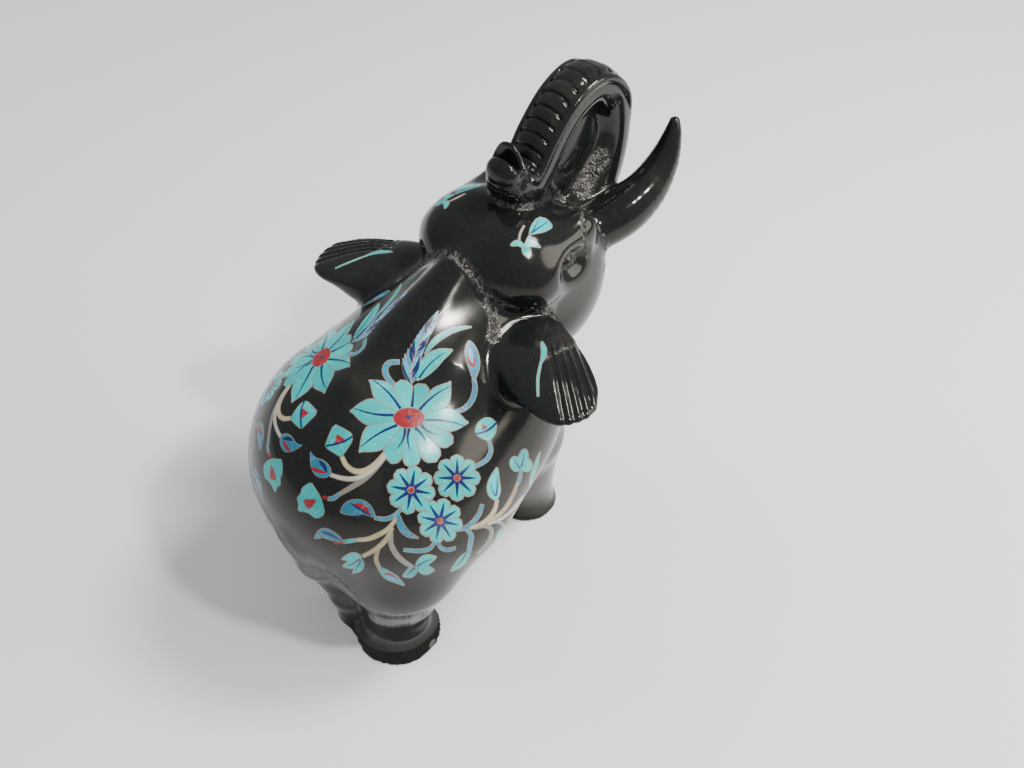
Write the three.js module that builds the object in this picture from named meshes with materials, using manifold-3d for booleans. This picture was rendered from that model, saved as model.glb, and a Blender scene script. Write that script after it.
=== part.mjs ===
// A marble elephant with its trunk raised, carved from one block and inlaid with flowers.
// Millimetres, +X towards the head, +Y towards the elephant's left, +Z up, feet on z = 0.
import * as THREE from "three";
import { mergeVertices } from "three/addons/utils/BufferGeometryUtils.js";
import Module from "manifold-3d";

// Driving sizes of the block
const BODY = { x: -13, z: 84, length: 110, width: 117, height: 102 };
const SHOULDER = { x: 26, z: 94, length: 84, width: 101, height: 92 };
const CHEST = { x: 50, z: 86, length: 50, width: 58, height: 80 };

// Legs: foot centre, rim radius, ankle radius and where each leg enters the body
const FLARE_HEIGHT = 7;
const LEGS = [
  { foot: [-36, -21], top: [-35, -26, 52], thigh: 22, ankle: 12.5, rim: 19.8 },
  { foot: [-22, 21], top: [-30, 24, 52], thigh: 22, ankle: 12.5, rim: 18.8 },
  { foot: [58, -15], top: [50, -21, 58], thigh: 16.5, ankle: 12, rim: 15.6 },
  { foot: [50, 17], top: [50, 22, 58], thigh: 16.5, ankle: 12, rim: 15.6 },
];

// Trunk: stations along its middle line, from the face, over the loop, to the turned-up tip
// x and z of the middle, half depth in the side plane, half width across
const TRUNK = [
  [84, 138, 17, 17],
  [103, 148, 14, 15],
  [117, 163, 11, 12.5],
  [123, 179, 9, 10.5],
  [120, 193.5, 8.2, 10],
  [109, 202.5, 8.2, 9.6],
  [96, 200, 8.4, 9.2],
  [84, 190, 8.6, 9.2],
  [76, 180, 8.8, 9.3],
  [69.5, 176, 9.2, 9.6],
  [63, 180.5, 8.4, 9.2],
  [61.5, 185, 6, 7],
];
const RING_PITCH = 4.9;
const RING_DEPTH = 1;
const RINGS = 13;

// Tusk: stations x, y, z and radius
const TUSK = [
  [96, 17, 146, 10.5],
  [108, 22, 150, 10.6],
  [121, 25, 156, 9],
  [131, 26, 166, 6.5],
  [136.3, 25.5, 176, 3.9],
  [137.6, 25, 181, 2.4],
];
const TUSK_STEPS = 20;

const hypot = Math.hypot;
const clamp = (value, low, high) => Math.min(Math.max(value, low), high);
const mix = (a, b, t) => a + (b - a) * t;
const smooth = (low, high, value) => {
  const t = clamp((value - low) / (high - low), 0, 1);
  return t * t * (3 - 2 * t);
};

// Two forms flow into one another over the reach k.
function join(a, b, k) {
  const h = Math.max(k - Math.abs(a - b), 0) / k;
  return Math.min(a, b) - (h * h * k) / 4;
}

// One form is hollowed by another, with an edge rounded over k.
function hollow(a, b, k) {
  return -join(-a, b, k);
}

// Distance to an egg with its own half sizes, tipped nose-up by a pitch in degrees.
function egg(x, y, z, centre, half, pitch = 0) {
  const turn = THREE.MathUtils.degToRad(pitch);
  const dx = x - centre[0];
  const dz = z - centre[2];
  const u = dx * Math.cos(turn) + dz * Math.sin(turn);
  const w = dz * Math.cos(turn) - dx * Math.sin(turn);
  const v = y - centre[1];
  const near = hypot(u / half[0], v / half[1], w / half[2]);
  const slope = hypot(u / half[0] ** 2, v / half[1] ** 2, w / half[2] ** 2);
  return slope < 1e-9 ? -Math.min(...half) : (near * (near - 1)) / slope;
}

// Distance to a round limb that tapers from one end to the other.
function limb(x, y, z, from, to, radiusFrom, radiusTo) {
  const ax = to[0] - from[0];
  const ay = to[1] - from[1];
  const az = to[2] - from[2];
  const px = x - from[0];
  const py = y - from[1];
  const pz = z - from[2];
  const t = clamp((px * ax + py * ay + pz * az) / (ax * ax + ay * ay + az * az), 0, 1);
  return hypot(px - ax * t, py - ay * t, pz - az * t) - mix(radiusFrom, radiusTo, t);
}

// How far a point is outside a box of low and high corners, or 0 within it.
const CLEAR = 12;
function outside(x, y, z, [low, high]) {
  const dx = Math.max(low[0] - x, x - high[0], 0);
  const dy = Math.max(low[1] - y, y - high[1], 0);
  const dz = Math.max(low[2] - z, z - high[2], 0);
  return hypot(dx, dy, dz);
}

// The barrel, shoulders, chest and neck, with the ridge of the spine.
function torso(x, y, z) {
  let d = egg(x, y, z, [BODY.x, 0, BODY.z], [BODY.length / 2, BODY.width / 2, BODY.height / 2]);
  const shoulder = [SHOULDER.length / 2, SHOULDER.width / 2, SHOULDER.height / 2];
  d = join(d, egg(x, y, z, [SHOULDER.x, 0, SHOULDER.z], shoulder, 20), 18);
  const chest = [CHEST.length / 2, CHEST.width / 2, CHEST.height / 2];
  d = join(d, egg(x, y, z, [CHEST.x, 0, CHEST.z], chest, 10), 18);
  d = join(d, limb(x, y, z, [18, 0, 118], [48, 0, 136], 30, 24), 16);
  d = join(d, limb(x, y, z, [-24, 0, 130], [34, 0, 156], 4, 4), 16);
  return d;
}

// A leg that flares like a bell into the rim of its foot.
function leg(x, y, z, { foot, top, thigh, ankle, rim }) {
  const [fx, fy] = foot;
  const d = limb(x, y, z, top, [fx, fy, 10], thigh, ankle);
  const waist = ankle - 1.5;
  const flare = waist + (rim - waist) * Math.exp(-Math.max(z, 0) / FLARE_HEIGHT);
  const bell = Math.max((hypot(x - fx, y - fy) - flare) * 0.85, z - 24);
  return join(d, bell, 4);
}

// The tail hangs down the rump and, with a web of stone, ties the hind legs together.
function tail(x, y, z) {
  let d = limb(x, y, z, [-61, 1, 78], [-57, 1, 54], 5, 5.5);
  d = join(d, limb(x, y, z, [-57, 1, 54], [-46, 0, 20], 5.5, 6), 6);
  d = join(d, limb(x, y, z, [-46, 0, 20], [-41, 0, -4], 6, 9), 6);
  d = join(d, limb(x, y, z, [-40, 0, 60], [-36, 0, 22], 16, 8), 12);
  return d;
}

// The skull with two domes, cheeks, brow, sunk eye and open jaw. Side is |y|.
const HEAD_BOX = [[26, 0, 94], [112, 36, 176]];
function head(x, y, z) {
  const side = Math.abs(y);
  const away = outside(x, side, z, HEAD_BOX);
  if (away > CLEAR) return away;
  let d = egg(x, y, z, [60, 0, 147], [28, 27, 24], 12);
  d = join(d, egg(x, side, z, [53, 14.5, 152.5], [20, 17, 17.5]), 10);
  d = join(d, egg(x, side, z, [75, 17, 129], [24, 15.5, 31], -14), 12);
  d = join(d, limb(x, side, z, [50, 24, 150], [80, 22, 159], 8, 7), 8);
  d = join(d, egg(x, y, z, [87, 0, 112], [22, 13, 10.5], 20), 8);
  d = hollow(d, egg(x, side, z, [67, 31, 153], [8, 6, 7]), 6);
  d = join(d, egg(x, side, z, [67, 27, 152.5], [4, 3, 3.4]), 2);
  return d;
}

// The ear: a thick leaf swept out and back, smooth behind and pleated in front.
const EAR_BOX = [[6, 14, 112], [62, 82, 148]];
const EAR = { root: [40, 28, 135], tip: [20, 72.2, 128.5], half: 16.2, thick: 5.5 };
const FLUTES = 5;
const FLUTE_DEPTH = 1.2;
function ear(x, y, z) {
  const side = Math.abs(y);
  const away = outside(x, side, z, EAR_BOX);
  if (away > CLEAR) return away;
  const axis = [EAR.tip[0] - EAR.root[0], EAR.tip[1] - EAR.root[1], EAR.tip[2] - EAR.root[2]];
  const long = hypot(...axis);
  const a = axis.map((v) => v / long);
  const b = [a[1] / hypot(a[0], a[1]), -a[0] / hypot(a[0], a[1]), 0];
  const c = [b[1] * a[2], -b[0] * a[2], b[0] * a[1] - b[1] * a[0]];
  const p = [x - EAR.root[0], side - EAR.root[1], z - EAR.root[2]];
  const along = p[0] * a[0] + p[1] * a[1] + p[2] * a[2];
  const across = p[0] * b[0] + p[1] * b[1] + p[2] * b[2];
  const up = p[0] * c[0] + p[1] * c[1] + p[2] * c[2];
  const u = (along - long * 0.36) / (long * 0.64);
  const v = across / EAR.half;
  const w = up / EAR.thick;
  const plan = (Math.abs(u) ** 2.6 + Math.abs(v) ** 2.6) ** (1 / 2.6);
  const near = hypot(plan, w);
  const slope = hypot(u / (long * 0.64), v / EAR.half, w / EAR.thick);
  let d = slope < 1e-9 ? -EAR.thick : (near * (near - 1)) / slope;
  d = join(d, egg(x, side, z, [28, 43, 128], [14, 18, 9]), 7);
  const low = 1.5 - (along - 16) * 0.27;
  const high = 15.5 - (along - 16) * 0.15;
  const share = (across - low) / Math.max(high - low, 1);
  const fan = smooth(0, 0.08, share) * smooth(13, 17, along);
  const ridge = Math.abs(Math.cos(share * FLUTES * Math.PI));
  return d + FLUTE_DEPTH * fan * (1 - ridge ** 2);
}

const TRUNK_BOX = [[44, -18, 120], [130, 18, 208]];

// The raised trunk, worked out as a run of short stretches of its middle line.
const trunkLine = new THREE.CatmullRomCurve3(TRUNK.map(([x, z]) => new THREE.Vector3(x, 0, z)));
const trunkSizes = new THREE.CatmullRomCurve3(
  TRUNK.map(([, , depth, width]) => new THREE.Vector3(depth, width, 0)),
);
const TRUNK_STEPS = 66;
const trunkRun = Array.from({ length: TRUNK_STEPS + 1 }, (_, i) => {
  const t = i / TRUNK_STEPS;
  const middle = trunkLine.getPoint(t);
  const size = trunkSizes.getPoint(t);
  return { x: middle.x, z: middle.z, depth: size.x, width: size.y };
});
trunkRun.forEach((station, i) => {
  const last = trunkRun[Math.max(i - 1, 0)];
  station.run = i ? last.run + hypot(station.x - last.x, station.z - last.z) : 0;
});

function trunk(x, y, z) {
  const away = outside(x, y, z, TRUNK_BOX);
  if (away > CLEAR) return away;
  let best = null;
  for (let i = 0; i < TRUNK_STEPS; i += 1) {
    const p = trunkRun[i];
    const q = trunkRun[i + 1];
    const ax = q.x - p.x;
    const az = q.z - p.z;
    const t = clamp(((x - p.x) * ax + (z - p.z) * az) / (ax * ax + az * az), 0, 1);
    const gap = hypot(x - p.x - ax * t, z - p.z - az * t);
    if (!best || gap < best.gap) best = { gap, i, t, ax, az };
  }
  const p = trunkRun[best.i];
  const q = trunkRun[best.i + 1];
  const depth = mix(p.depth, q.depth, best.t);
  const width = mix(p.width, q.width, best.t);
  const run = mix(p.run, q.run, best.t);
  const sign = (x - p.x) * best.az - (z - p.z) * best.ax;
  const out = Math.sign(sign) * best.gap;
  // out is positive on the convex side, which carries the rings
  const power = 2.5;
  const u = Math.abs(out) / depth;
  const v = Math.abs(y) / width;
  const near = (u ** power + v ** power) ** (1 / power);
  let d = (near - 1) * Math.min(depth, width);
  const rise = smooth(24, 40, run);
  const bead = hypot(out - 0.55 * depth, Math.abs(y) - 0.86 * width) - 1.9 * rise;
  d = join(d, bead, 1.2);
  return d;
}

// The trunk with the two lips of its tip and the thin web of stone left inside its loop.
function raised(x, y, z) {
  const away = outside(x, y, z, TRUNK_BOX);
  if (away > CLEAR) return away;
  let d = trunk(x, y, z);
  d = join(d, egg(x, y, z, [59, 0, 185.5], [4, 6.8, 6]), 3);
  d = join(d, egg(x, y, z, [64.6, 1.5, 188.3], [3.8, 6.6, 8], 8), 3);
  d = hollow(d, egg(x, y, z, [61.8, 0, 194], [1.8, 12, 7]), 2);
  d = join(d, egg(x, y, z, [103, 0, 174], [19, 5, 27], -14), 4);
  d = join(d, egg(x, y, z, [80, 0, 170], [10, 6, 9]), 4);
  return d;
}

// The tusk: a run of short limbs along a smooth line.
const TUSK_BOX = [[84, 5, 134], [142, 36, 186]];
const tuskLine = new THREE.CatmullRomCurve3(TUSK.map(([x, y, z]) => new THREE.Vector3(x, y, z)));
const tuskSizes = new THREE.CatmullRomCurve3(TUSK.map(([, , , r]) => new THREE.Vector3(r, 0, 0)));
const tuskRun = Array.from({ length: TUSK_STEPS + 1 }, (_, i) => {
  const place = tuskLine.getPoint(i / TUSK_STEPS).toArray();
  return { place, radius: tuskSizes.getPoint(i / TUSK_STEPS).x };
});
function tusk(x, y, z) {
  const side = Math.abs(y);
  const away = outside(x, side, z, TUSK_BOX);
  if (away > CLEAR) return away;
  let d = Infinity;
  for (let i = 1; i <= TUSK_STEPS; i += 1) {
    const p = tuskRun[i - 1];
    const q = tuskRun[i];
    d = Math.min(d, limb(x, side, z, p.place, q.place, p.radius, q.radius));
  }
  return d;
}

// The whole block: negative inside the marble.
export function elephant(x, y, z) {
  let d = torso(x, y, z);
  for (const one of LEGS) {
    d = join(d, leg(x, y, z, one), 16);
  }
  d = join(d, tail(x, y, z), 6);
  d = join(d, head(x, y, z), 4);
  d = join(d, ear(x, y, z), 4);
  d = join(d, raised(x, y, z), 4);
  d = join(d, tusk(x, y, z), 3);
  d = hollow(d, egg(x, y, z, [108, 0, 127.5], [19, 11, 3.6], 32), 3);
  return Math.max(d, -4 - z);
}

const FINE = 1.7;
const COARSE = 3.4;
const REACH = { x: [-84, 150], y: [-84, 84], z: [-6, 214] };

// Grid lines, closer together in the stretches that hold fine carving.
function gridLines([low, high], fine) {
  const lines = [low];
  while (lines.at(-1) < high) {
    const at = lines.at(-1);
    const close = fine.some(([from, to]) => at >= from && at < to);
    lines.push(at + (close ? FINE : COARSE));
  }
  return lines;
}

// Follows the skin of the form through a grid of boxes, each cut into six wedges.
function skin(form) {
  const xs = gridLines(REACH.x, [[12, 126]]);
  const ys = gridLines(REACH.y, [[-78, -44], [-14, 14], [44, 78]]);
  const zs = gridLines(REACH.z, [[116, 142], [164, 208]]);
  const [nx, ny, nz] = [xs.length, ys.length, zs.length];
  const value = new Float32Array(nx * ny * nz).fill(NaN);
  const at = (i, j, k) => (i * ny + j) * nz + k;
  const block = 5;
  for (let i = 0; i < nx; i += block) {
    for (let j = 0; j < ny; j += block) {
      for (let k = 0; k < nz; k += block) {
        const mid = [i, j, k].map((n) => n + block / 2);
        const pick = (lines, n) => lines[Math.min(Math.round(n), lines.length - 1)];
        const far = form(pick(xs, mid[0]), pick(ys, mid[1]), pick(zs, mid[2]));
        const close = Math.abs(far) < COARSE * block * 1.3 + 2;
        for (let a = i; a < Math.min(i + block, nx); a += 1) {
          for (let b = j; b < Math.min(j + block, ny); b += 1) {
            for (let c = k; c < Math.min(k + block, nz); c += 1) {
              value[at(a, b, c)] = close ? form(xs[a], ys[b], zs[c]) || 1e-6 : far;
            }
          }
        }
      }
    }
  }
  const corners = [0, 1, 2, 3, 4, 5, 6, 7].map((n) => [n & 1, (n >> 1) & 1, (n >> 2) & 1]);
  const wedges = [
    [0, 1, 3, 7],
    [0, 3, 2, 7],
    [0, 2, 6, 7],
    [0, 6, 4, 7],
    [0, 4, 5, 7],
    [0, 5, 1, 7],
  ];
  const points = [];
  const faces = [];
  const known = new Map();
  const place = (p, q) => {
    const [lo, hi] = p < q ? [p, q] : [q, p];
    const key = lo * nx * ny * nz + hi;
    if (known.has(key)) return known.get(key);
    const t = value[lo] / (value[lo] - value[hi]);
    const cell = (n) => [xs[Math.floor(n / (ny * nz))], ys[Math.floor(n / nz) % ny], zs[n % nz]];
    const a = cell(lo);
    const b = cell(hi);
    points.push(a.map((v, axis) => mix(v, b[axis], clamp(t, 0.02, 0.98))));
    known.set(key, points.length - 1);
    return points.length - 1;
  };
  for (let i = 0; i < nx - 1; i += 1) {
    for (let j = 0; j < ny - 1; j += 1) {
      for (let k = 0; k < nz - 1; k += 1) {
        const ids = corners.map(([a, b, c]) => at(i + a, j + b, k + c));
        const inside = ids.filter((n) => value[n] < 0).length;
        if (inside === 0 || inside === 8) continue;
        for (const wedge of wedges) {
          const tet = wedge.map((n) => ids[n]);
          const low = tet.filter((n) => value[n] < 0);
          const high = tet.filter((n) => value[n] >= 0);
          if (!low.length || !high.length) continue;
          const flipped = permutationSign(tet, [...low, ...high]) < 0;
          let ring;
          if (low.length === 1) ring = high.map((h) => place(low[0], h));
          else if (high.length === 1) ring = low.map((l) => place(l, high[0]));
          else {
            ring = [
              place(low[0], high[0]),
              place(low[0], high[1]),
              place(low[1], high[1]),
              place(low[1], high[0]),
            ];
          }
          if (flipped) ring.reverse();
          faces.push([ring[0], ring[1], ring[2]]);
          if (ring.length === 4) faces.push([ring[0], ring[2], ring[3]]);
        }
      }
    }
  }
  return { points, faces };
}

// +1 where the second order is an even shuffle of the first, -1 where it is odd.
function permutationSign(first, second) {
  const order = second.map((n) => first.indexOf(n));
  let sign = 1;
  for (let i = 0; i < order.length; i += 1) {
    for (let j = i + 1; j < order.length; j += 1) {
      if (order[i] > order[j]) sign = -sign;
    }
  }
  return sign;
}

// Moves every point onto the true skin of the form.
function settle(points, form) {
  const h = 0.05;
  for (const p of points) {
    for (let pass = 0; pass < 2; pass += 1) {
      const [x, y, z] = p;
      const d = form(x, y, z);
      const gx = (form(x + h, y, z) - d) / h;
      const gy = (form(x, y + h, z) - d) / h;
      const gz = (form(x, y, z + h) - d) / h;
      const size = gx * gx + gy * gy + gz * gz;
      if (size < 1e-6) break;
      const step = clamp(d / size, -0.6, 0.6);
      p[0] -= gx * step;
      p[1] -= gy * step;
      p[2] -= gz * step;
    }
  }
}

// Thins a closed mesh: folds away, one by one, the edges that matter least to its shape.
function thin({ points, faces }, target) {
  const planes = points.map(() => new Float64Array(10));
  const around = points.map(() => new Set());
  const alive = faces.map(() => true);
  const sub = (a, b) => [a[0] - b[0], a[1] - b[1], a[2] - b[2]];
  const cross = (a, b) => [
    a[1] * b[2] - a[2] * b[1],
    a[2] * b[0] - a[0] * b[2],
    a[0] * b[1] - a[1] * b[0],
  ];
  const faceNormal = (a, b, c) => cross(sub(b, a), sub(c, a));
  faces.forEach(([a, b, c], index) => {
    const n = faceNormal(points[a], points[b], points[c]);
    const area = hypot(...n) || 1e-12;
    const [nx, ny, nz] = n.map((v) => v / area);
    const w = -(nx * points[a][0] + ny * points[a][1] + nz * points[a][2]);
    const plane = [nx * nx, nx * ny, nx * nz, nx * w, ny * ny, ny * nz, ny * w, nz * nz, nz * w, w * w];
    for (const v of [a, b, c]) {
      plane.forEach((term, i) => {
        planes[v][i] += term;
      });
      around[v].add(index);
    }
  });
  const errorAt = (q, [x, y, z]) =>
    q[0] * x * x + 2 * q[1] * x * y + 2 * q[2] * x * z + 2 * q[3] * x + q[4] * y * y +
    2 * q[5] * y * z + 2 * q[6] * y + q[7] * z * z + 2 * q[8] * z + q[9];
  const version = new Int32Array(points.length);
  const gone = new Uint8Array(points.length);
  const best = (a, b) => {
    const q = planes[a].map((v, i) => v + planes[b][i]);
    const middle = points[a].map((v, i) => (v + points[b][i]) / 2);
    let choice = middle;
    const det =
      q[0] * (q[4] * q[7] - q[5] * q[5]) -
      q[1] * (q[1] * q[7] - q[5] * q[2]) +
      q[2] * (q[1] * q[5] - q[4] * q[2]);
    const span = hypot(...sub(points[a], points[b]));
    if (Math.abs(det) > 1e-4 * (q[0] + q[4] + q[7]) ** 3) {
      const x = -(q[3] * (q[4] * q[7] - q[5] * q[5]) - q[1] * (q[6] * q[7] - q[5] * q[8]) +
        q[2] * (q[6] * q[5] - q[4] * q[8])) / det;
      const y = -(q[0] * (q[6] * q[7] - q[8] * q[5]) - q[3] * (q[1] * q[7] - q[5] * q[2]) +
        q[2] * (q[1] * q[8] - q[6] * q[2])) / det;
      const z = -(q[0] * (q[4] * q[8] - q[5] * q[6]) - q[1] * (q[1] * q[8] - q[6] * q[2]) +
        q[3] * (q[1] * q[5] - q[4] * q[2])) / det;
      if (hypot(...sub([x, y, z], middle)) < span) choice = [x, y, z];
    }
    const options = [choice, middle];
    options.sort((m, n) => errorAt(q, m) - errorAt(q, n));
    return { cost: errorAt(q, options[0]) + 1e-4 * span * span, spot: options[0] };
  };
  const heap = [];
  const push = (item) => {
    heap.push(item);
    let i = heap.length - 1;
    while (i > 0) {
      const up = (i - 1) >> 1;
      if (heap[up].cost <= heap[i].cost) break;
      [heap[up], heap[i]] = [heap[i], heap[up]];
      i = up;
    }
  };
  const pop = () => {
    const top = heap[0];
    const last = heap.pop();
    if (heap.length) {
      heap[0] = last;
      let i = 0;
      for (;;) {
        let least = i;
        for (const child of [2 * i + 1, 2 * i + 2]) {
          if (child < heap.length && heap[child].cost < heap[least].cost) least = child;
        }
        if (least === i) break;
        [heap[least], heap[i]] = [heap[i], heap[least]];
        i = least;
      }
    }
    return top;
  };
  const offer = (a, b) => {
    const { cost, spot } = best(a, b);
    push({ cost, spot, a, b, va: version[a], vb: version[b] });
  };
  const neighbours = (v) => {
    const set = new Set();
    for (const f of around[v]) for (const n of faces[f]) if (n !== v) set.add(n);
    return set;
  };
  points.forEach((_, a) => {
    for (const b of neighbours(a)) if (a < b) offer(a, b);
  });
  let left = faces.length;
  while (left > target && heap.length) {
    const { a, b, va, vb, spot } = pop();
    if (gone[a] || gone[b] || version[a] !== va || version[b] !== vb) continue;
    const shared = [...neighbours(a)].filter((n) => neighbours(b).has(n));
    if (shared.length !== 2) continue;
    const turned = [a, b].some((v) =>
      [...around[v]].some((f) => {
        const tri = faces[f];
        if (tri.includes(a) && tri.includes(b)) return false;
        const before = faceNormal(...tri.map((n) => points[n]));
        const after = faceNormal(...tri.map((n) => (n === v ? spot : points[n])));
        const dot = before[0] * after[0] + before[1] * after[1] + before[2] * after[2];
        return dot < 0.3 * hypot(...before) * hypot(...after);
      }),
    );
    if (turned) continue;
    points[a] = spot;
    planes[a] = planes[a].map((v, i) => v + planes[b][i]);
    for (const f of [...around[b]]) {
      if (faces[f].includes(a)) {
        alive[f] = false;
        for (const n of faces[f]) around[n].delete(f);
        left -= 1;
      } else {
        faces[f] = faces[f].map((n) => (n === b ? a : n));
        around[a].add(f);
      }
    }
    gone[b] = 1;
    version[a] += 1;
    for (const n of neighbours(a)) offer(a, n);
  }
  const map = new Map();
  const kept = [];
  const out = [];
  faces.forEach((tri, f) => {
    if (!alive[f]) return;
    out.push(tri.map((n) => {
      if (!map.has(n)) {
        map.set(n, kept.length);
        kept.push(points[n]);
      }
      return map.get(n);
    }));
  });
  return { points: kept, faces: out };
}

const BODY_TRIANGLES = 4000;
const shell = skin(elephant);
settle(shell.points, elephant);
const thinned = thin(shell, BODY_TRIANGLES);

const wasm = await Module();
wasm.setup();

function solidOfMesh({ points, faces }) {
  return new wasm.Manifold(
    new wasm.Mesh({
      numProp: 3,
      vertProperties: new Float32Array(points.flat()),
      triVerts: new Uint32Array(faces.flat()),
    }),
  );
}

// A three.js geometry as a solid that can be cut and joined.
function solidOfGeometry(geometry) {
  const bare = geometry.clone();
  bare.deleteAttribute("normal");
  bare.deleteAttribute("uv");
  const merged = mergeVertices(bare, 1e-4);
  return new wasm.Manifold(
    new wasm.Mesh({
      numProp: 3,
      vertProperties: merged.attributes.position.array,
      triVerts: new Uint32Array(merged.index.array),
    }),
  );
}

function geometryOf(solid) {
  const mesh = solid.getMesh();
  const geometry = new THREE.BufferGeometry();
  geometry.setAttribute("position", new THREE.BufferAttribute(mesh.vertProperties, 3));
  geometry.setIndex(new THREE.BufferAttribute(mesh.triVerts, 1));
  geometry.computeVertexNormals();
  return geometry;
}

// Direction in which the skin faces at a point.
function facing(x, y, z) {
  const h = 0.1;
  const d = elephant(x, y, z);
  const slope = new THREE.Vector3(
    elephant(x + h, y, z) - d,
    elephant(x, y + h, z) - d,
    elephant(x, y, z + h) - d,
  );
  return slope.normalize();
}

// Puts a point on the skin, with the way it faces there.
function onSkin(x, y, z) {
  const spot = [[x, y, z]];
  for (let pass = 0; pass < 4; pass += 1) settle(spot, elephant);
  return { spot: new THREE.Vector3(...spot[0]), up: facing(...spot[0]) };
}

// A closed slab over a sheet of rows of skin points, from lift above the skin to depth below it.
function slab(rows, lift, depth, closed = false) {
  const points = [];
  const faces = [];
  const columns = rows[0].length;
  for (const level of [lift, -depth]) {
    for (const row of rows) {
      for (const { spot, up } of row) points.push(spot.clone().addScaledVector(up, level));
    }
  }
  const index = (level, row, column) => (level * rows.length + row) * columns + (column % columns);
  const add = (a, b, c) => faces.push([a, b, c]);
  const wide = closed ? columns : columns - 1;
  for (let r = 0; r < rows.length - 1; r += 1) {
    for (let c = 0; c < wide; c += 1) {
      for (const level of [0, 1]) {
        const quad = [
          index(level, r, c),
          index(level, r, c + 1),
          index(level, r + 1, c + 1),
          index(level, r + 1, c),
        ];
        if (level === 0) quad.reverse();
        add(quad[0], quad[1], quad[2]);
        add(quad[0], quad[2], quad[3]);
      }
    }
  }
  const wall = (r1, c1, r2, c2) => {
    add(index(0, r1, c1), index(0, r2, c2), index(1, r2, c2));
    add(index(0, r1, c1), index(1, r2, c2), index(1, r1, c1));
  };
  for (let c = 0; c < wide; c += 1) {
    wall(0, c, 0, c + 1);
    wall(rows.length - 1, c + 1, rows.length - 1, c);
  }
  if (!closed) {
    for (let r = 0; r < rows.length - 1; r += 1) {
      wall(r + 1, 0, r, 0);
      wall(r, columns - 1, r + 1, columns - 1);
    }
  }
  return solidOfRaw(points, faces);
}

// Merges points that fall together, drops the faces that close up, and makes the solid.
function solidOfRaw(points, faces) {
  const geometry = new THREE.BufferGeometry().setFromPoints(points);
  geometry.setIndex(faces.flat());
  const merged = mergeVertices(geometry, 1e-3);
  const order = merged.index.array;
  const kept = [];
  for (let i = 0; i < order.length; i += 3) {
    const [a, b, c] = [order[i], order[i + 1], order[i + 2]];
    if (a !== b && b !== c && a !== c) kept.push(a, b, c);
  }
  const made = new wasm.Manifold(
    new wasm.Mesh({
      numProp: 3,
      vertProperties: merged.attributes.position.array,
      triVerts: new Uint32Array(kept),
    }),
  );
  if (made.volume() >= 0) return made;
  for (let i = 0; i < kept.length; i += 3) [kept[i + 1], kept[i + 2]] = [kept[i + 2], kept[i + 1]];
  return new wasm.Manifold(
    new wasm.Mesh({
      numProp: 3,
      vertProperties: merged.attributes.position.array,
      triVerts: new Uint32Array(kept),
    }),
  );
}

// A V-shaped chisel cut along a run of places near the skin, fading out at both ends.
function gouge(places, width, depth) {
  const run = places.map(([x, y, z]) => onSkin(x, y, z));
  const points = [];
  const faces = [];
  run.forEach(({ spot, up }, i) => {
    const before = run[Math.max(i - 1, 0)].spot;
    const after = run[Math.min(i + 1, run.length - 1)].spot;
    const along = after.clone().sub(before).normalize();
    const across = new THREE.Vector3().crossVectors(along, up).normalize();
    const end = i === 0 || i === run.length - 1;
    const sunk = end ? -0.25 : depth;
    points.push(
      spot.clone().addScaledVector(across, width).addScaledVector(up, 0.6),
      spot.clone().addScaledVector(across, -width).addScaledVector(up, 0.6),
      spot.clone().addScaledVector(up, -sunk),
    );
    if (i === 0) return;
    const [p, q] = [3 * (i - 1), 3 * i];
    for (const [m, n] of [[0, 1], [1, 2], [2, 0]]) {
      faces.push([p + m, p + n, q + n], [p + m, q + n, q + m]);
    }
  });
  const last = 3 * (run.length - 1);
  faces.push([0, 2, 1], [last, last + 1, last + 2]);
  return solidOfRaw(points, faces);
}

// The cuts between the rings, across the outer face of the trunk.
function ringCuts() {
  const cuts = [];
  const lastRun = trunkRun.at(-1).run - 18;
  for (let n = 0; n < RINGS; n += 1) {
    const run = lastRun - n * RING_PITCH;
    const i = trunkRun.findIndex((station) => station.run >= run);
    const p = trunkRun[i];
    const q = trunkRun[i + 1];
    const along = new THREE.Vector2(q.x - p.x, q.z - p.z).normalize();
    const places = [-0.78, -0.4, 0, 0.4, 0.78].map((share) => [
      p.x + along.y * p.depth,
      share * p.width,
      p.z - along.x * p.depth,
    ]);
    cuts.push(gouge(places, 1.1, RING_DEPTH));
  }
  return cuts;
}

// The flowers are drawn as they look from an eye above and behind one flank, on a sheet held
// at arm's length: across and down from the sheet's corner. Left flank: the same, mirrored.
const EYE = { x: -203, y: -236, z: 434.7, azimuth: 41.4, fall: 46 };
const SHEET = { reach: 1110, across: 512, down: 384 };

// Lays a spot of the drawing onto the skin. Side is -1 for the right flank, 1 for the left.
function laid([across, down], side) {
  const turn = THREE.MathUtils.degToRad(EYE.azimuth);
  const fall = THREE.MathUtils.degToRad(EYE.fall);
  const ahead = [Math.cos(turn) * Math.cos(fall), Math.sin(turn) * Math.cos(fall), -Math.sin(fall)];
  const right = [Math.sin(turn), -Math.cos(turn), 0];
  const up = [Math.cos(turn) * Math.sin(fall), Math.sin(turn) * Math.sin(fall), Math.cos(fall)];
  const way = ahead.map((v, axis) => {
    const sideways = right[axis] * (across - SHEET.across);
    return v * SHEET.reach + sideways + up[axis] * (SHEET.down - down);
  });
  const length = hypot(...way);
  let travelled = 300;
  const place = () => {
    const [x, y, z] = way.map((v) => (v / length) * travelled);
    return [EYE.x + x, -side * (EYE.y + y), EYE.z + z];
  };
  for (let pass = 0; pass < 60; pass += 1) {
    const gap = elephant(...place());
    travelled += clamp(gap * 0.9, -2, 20);
    if (Math.abs(gap) < 0.01) break;
  }
  return onSkin(...place());
}

const PLATE = 1.8;
const GAP = 0.3;
const FLUSH = 0.05;
const DRAWN_GAP = 1.1;

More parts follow.
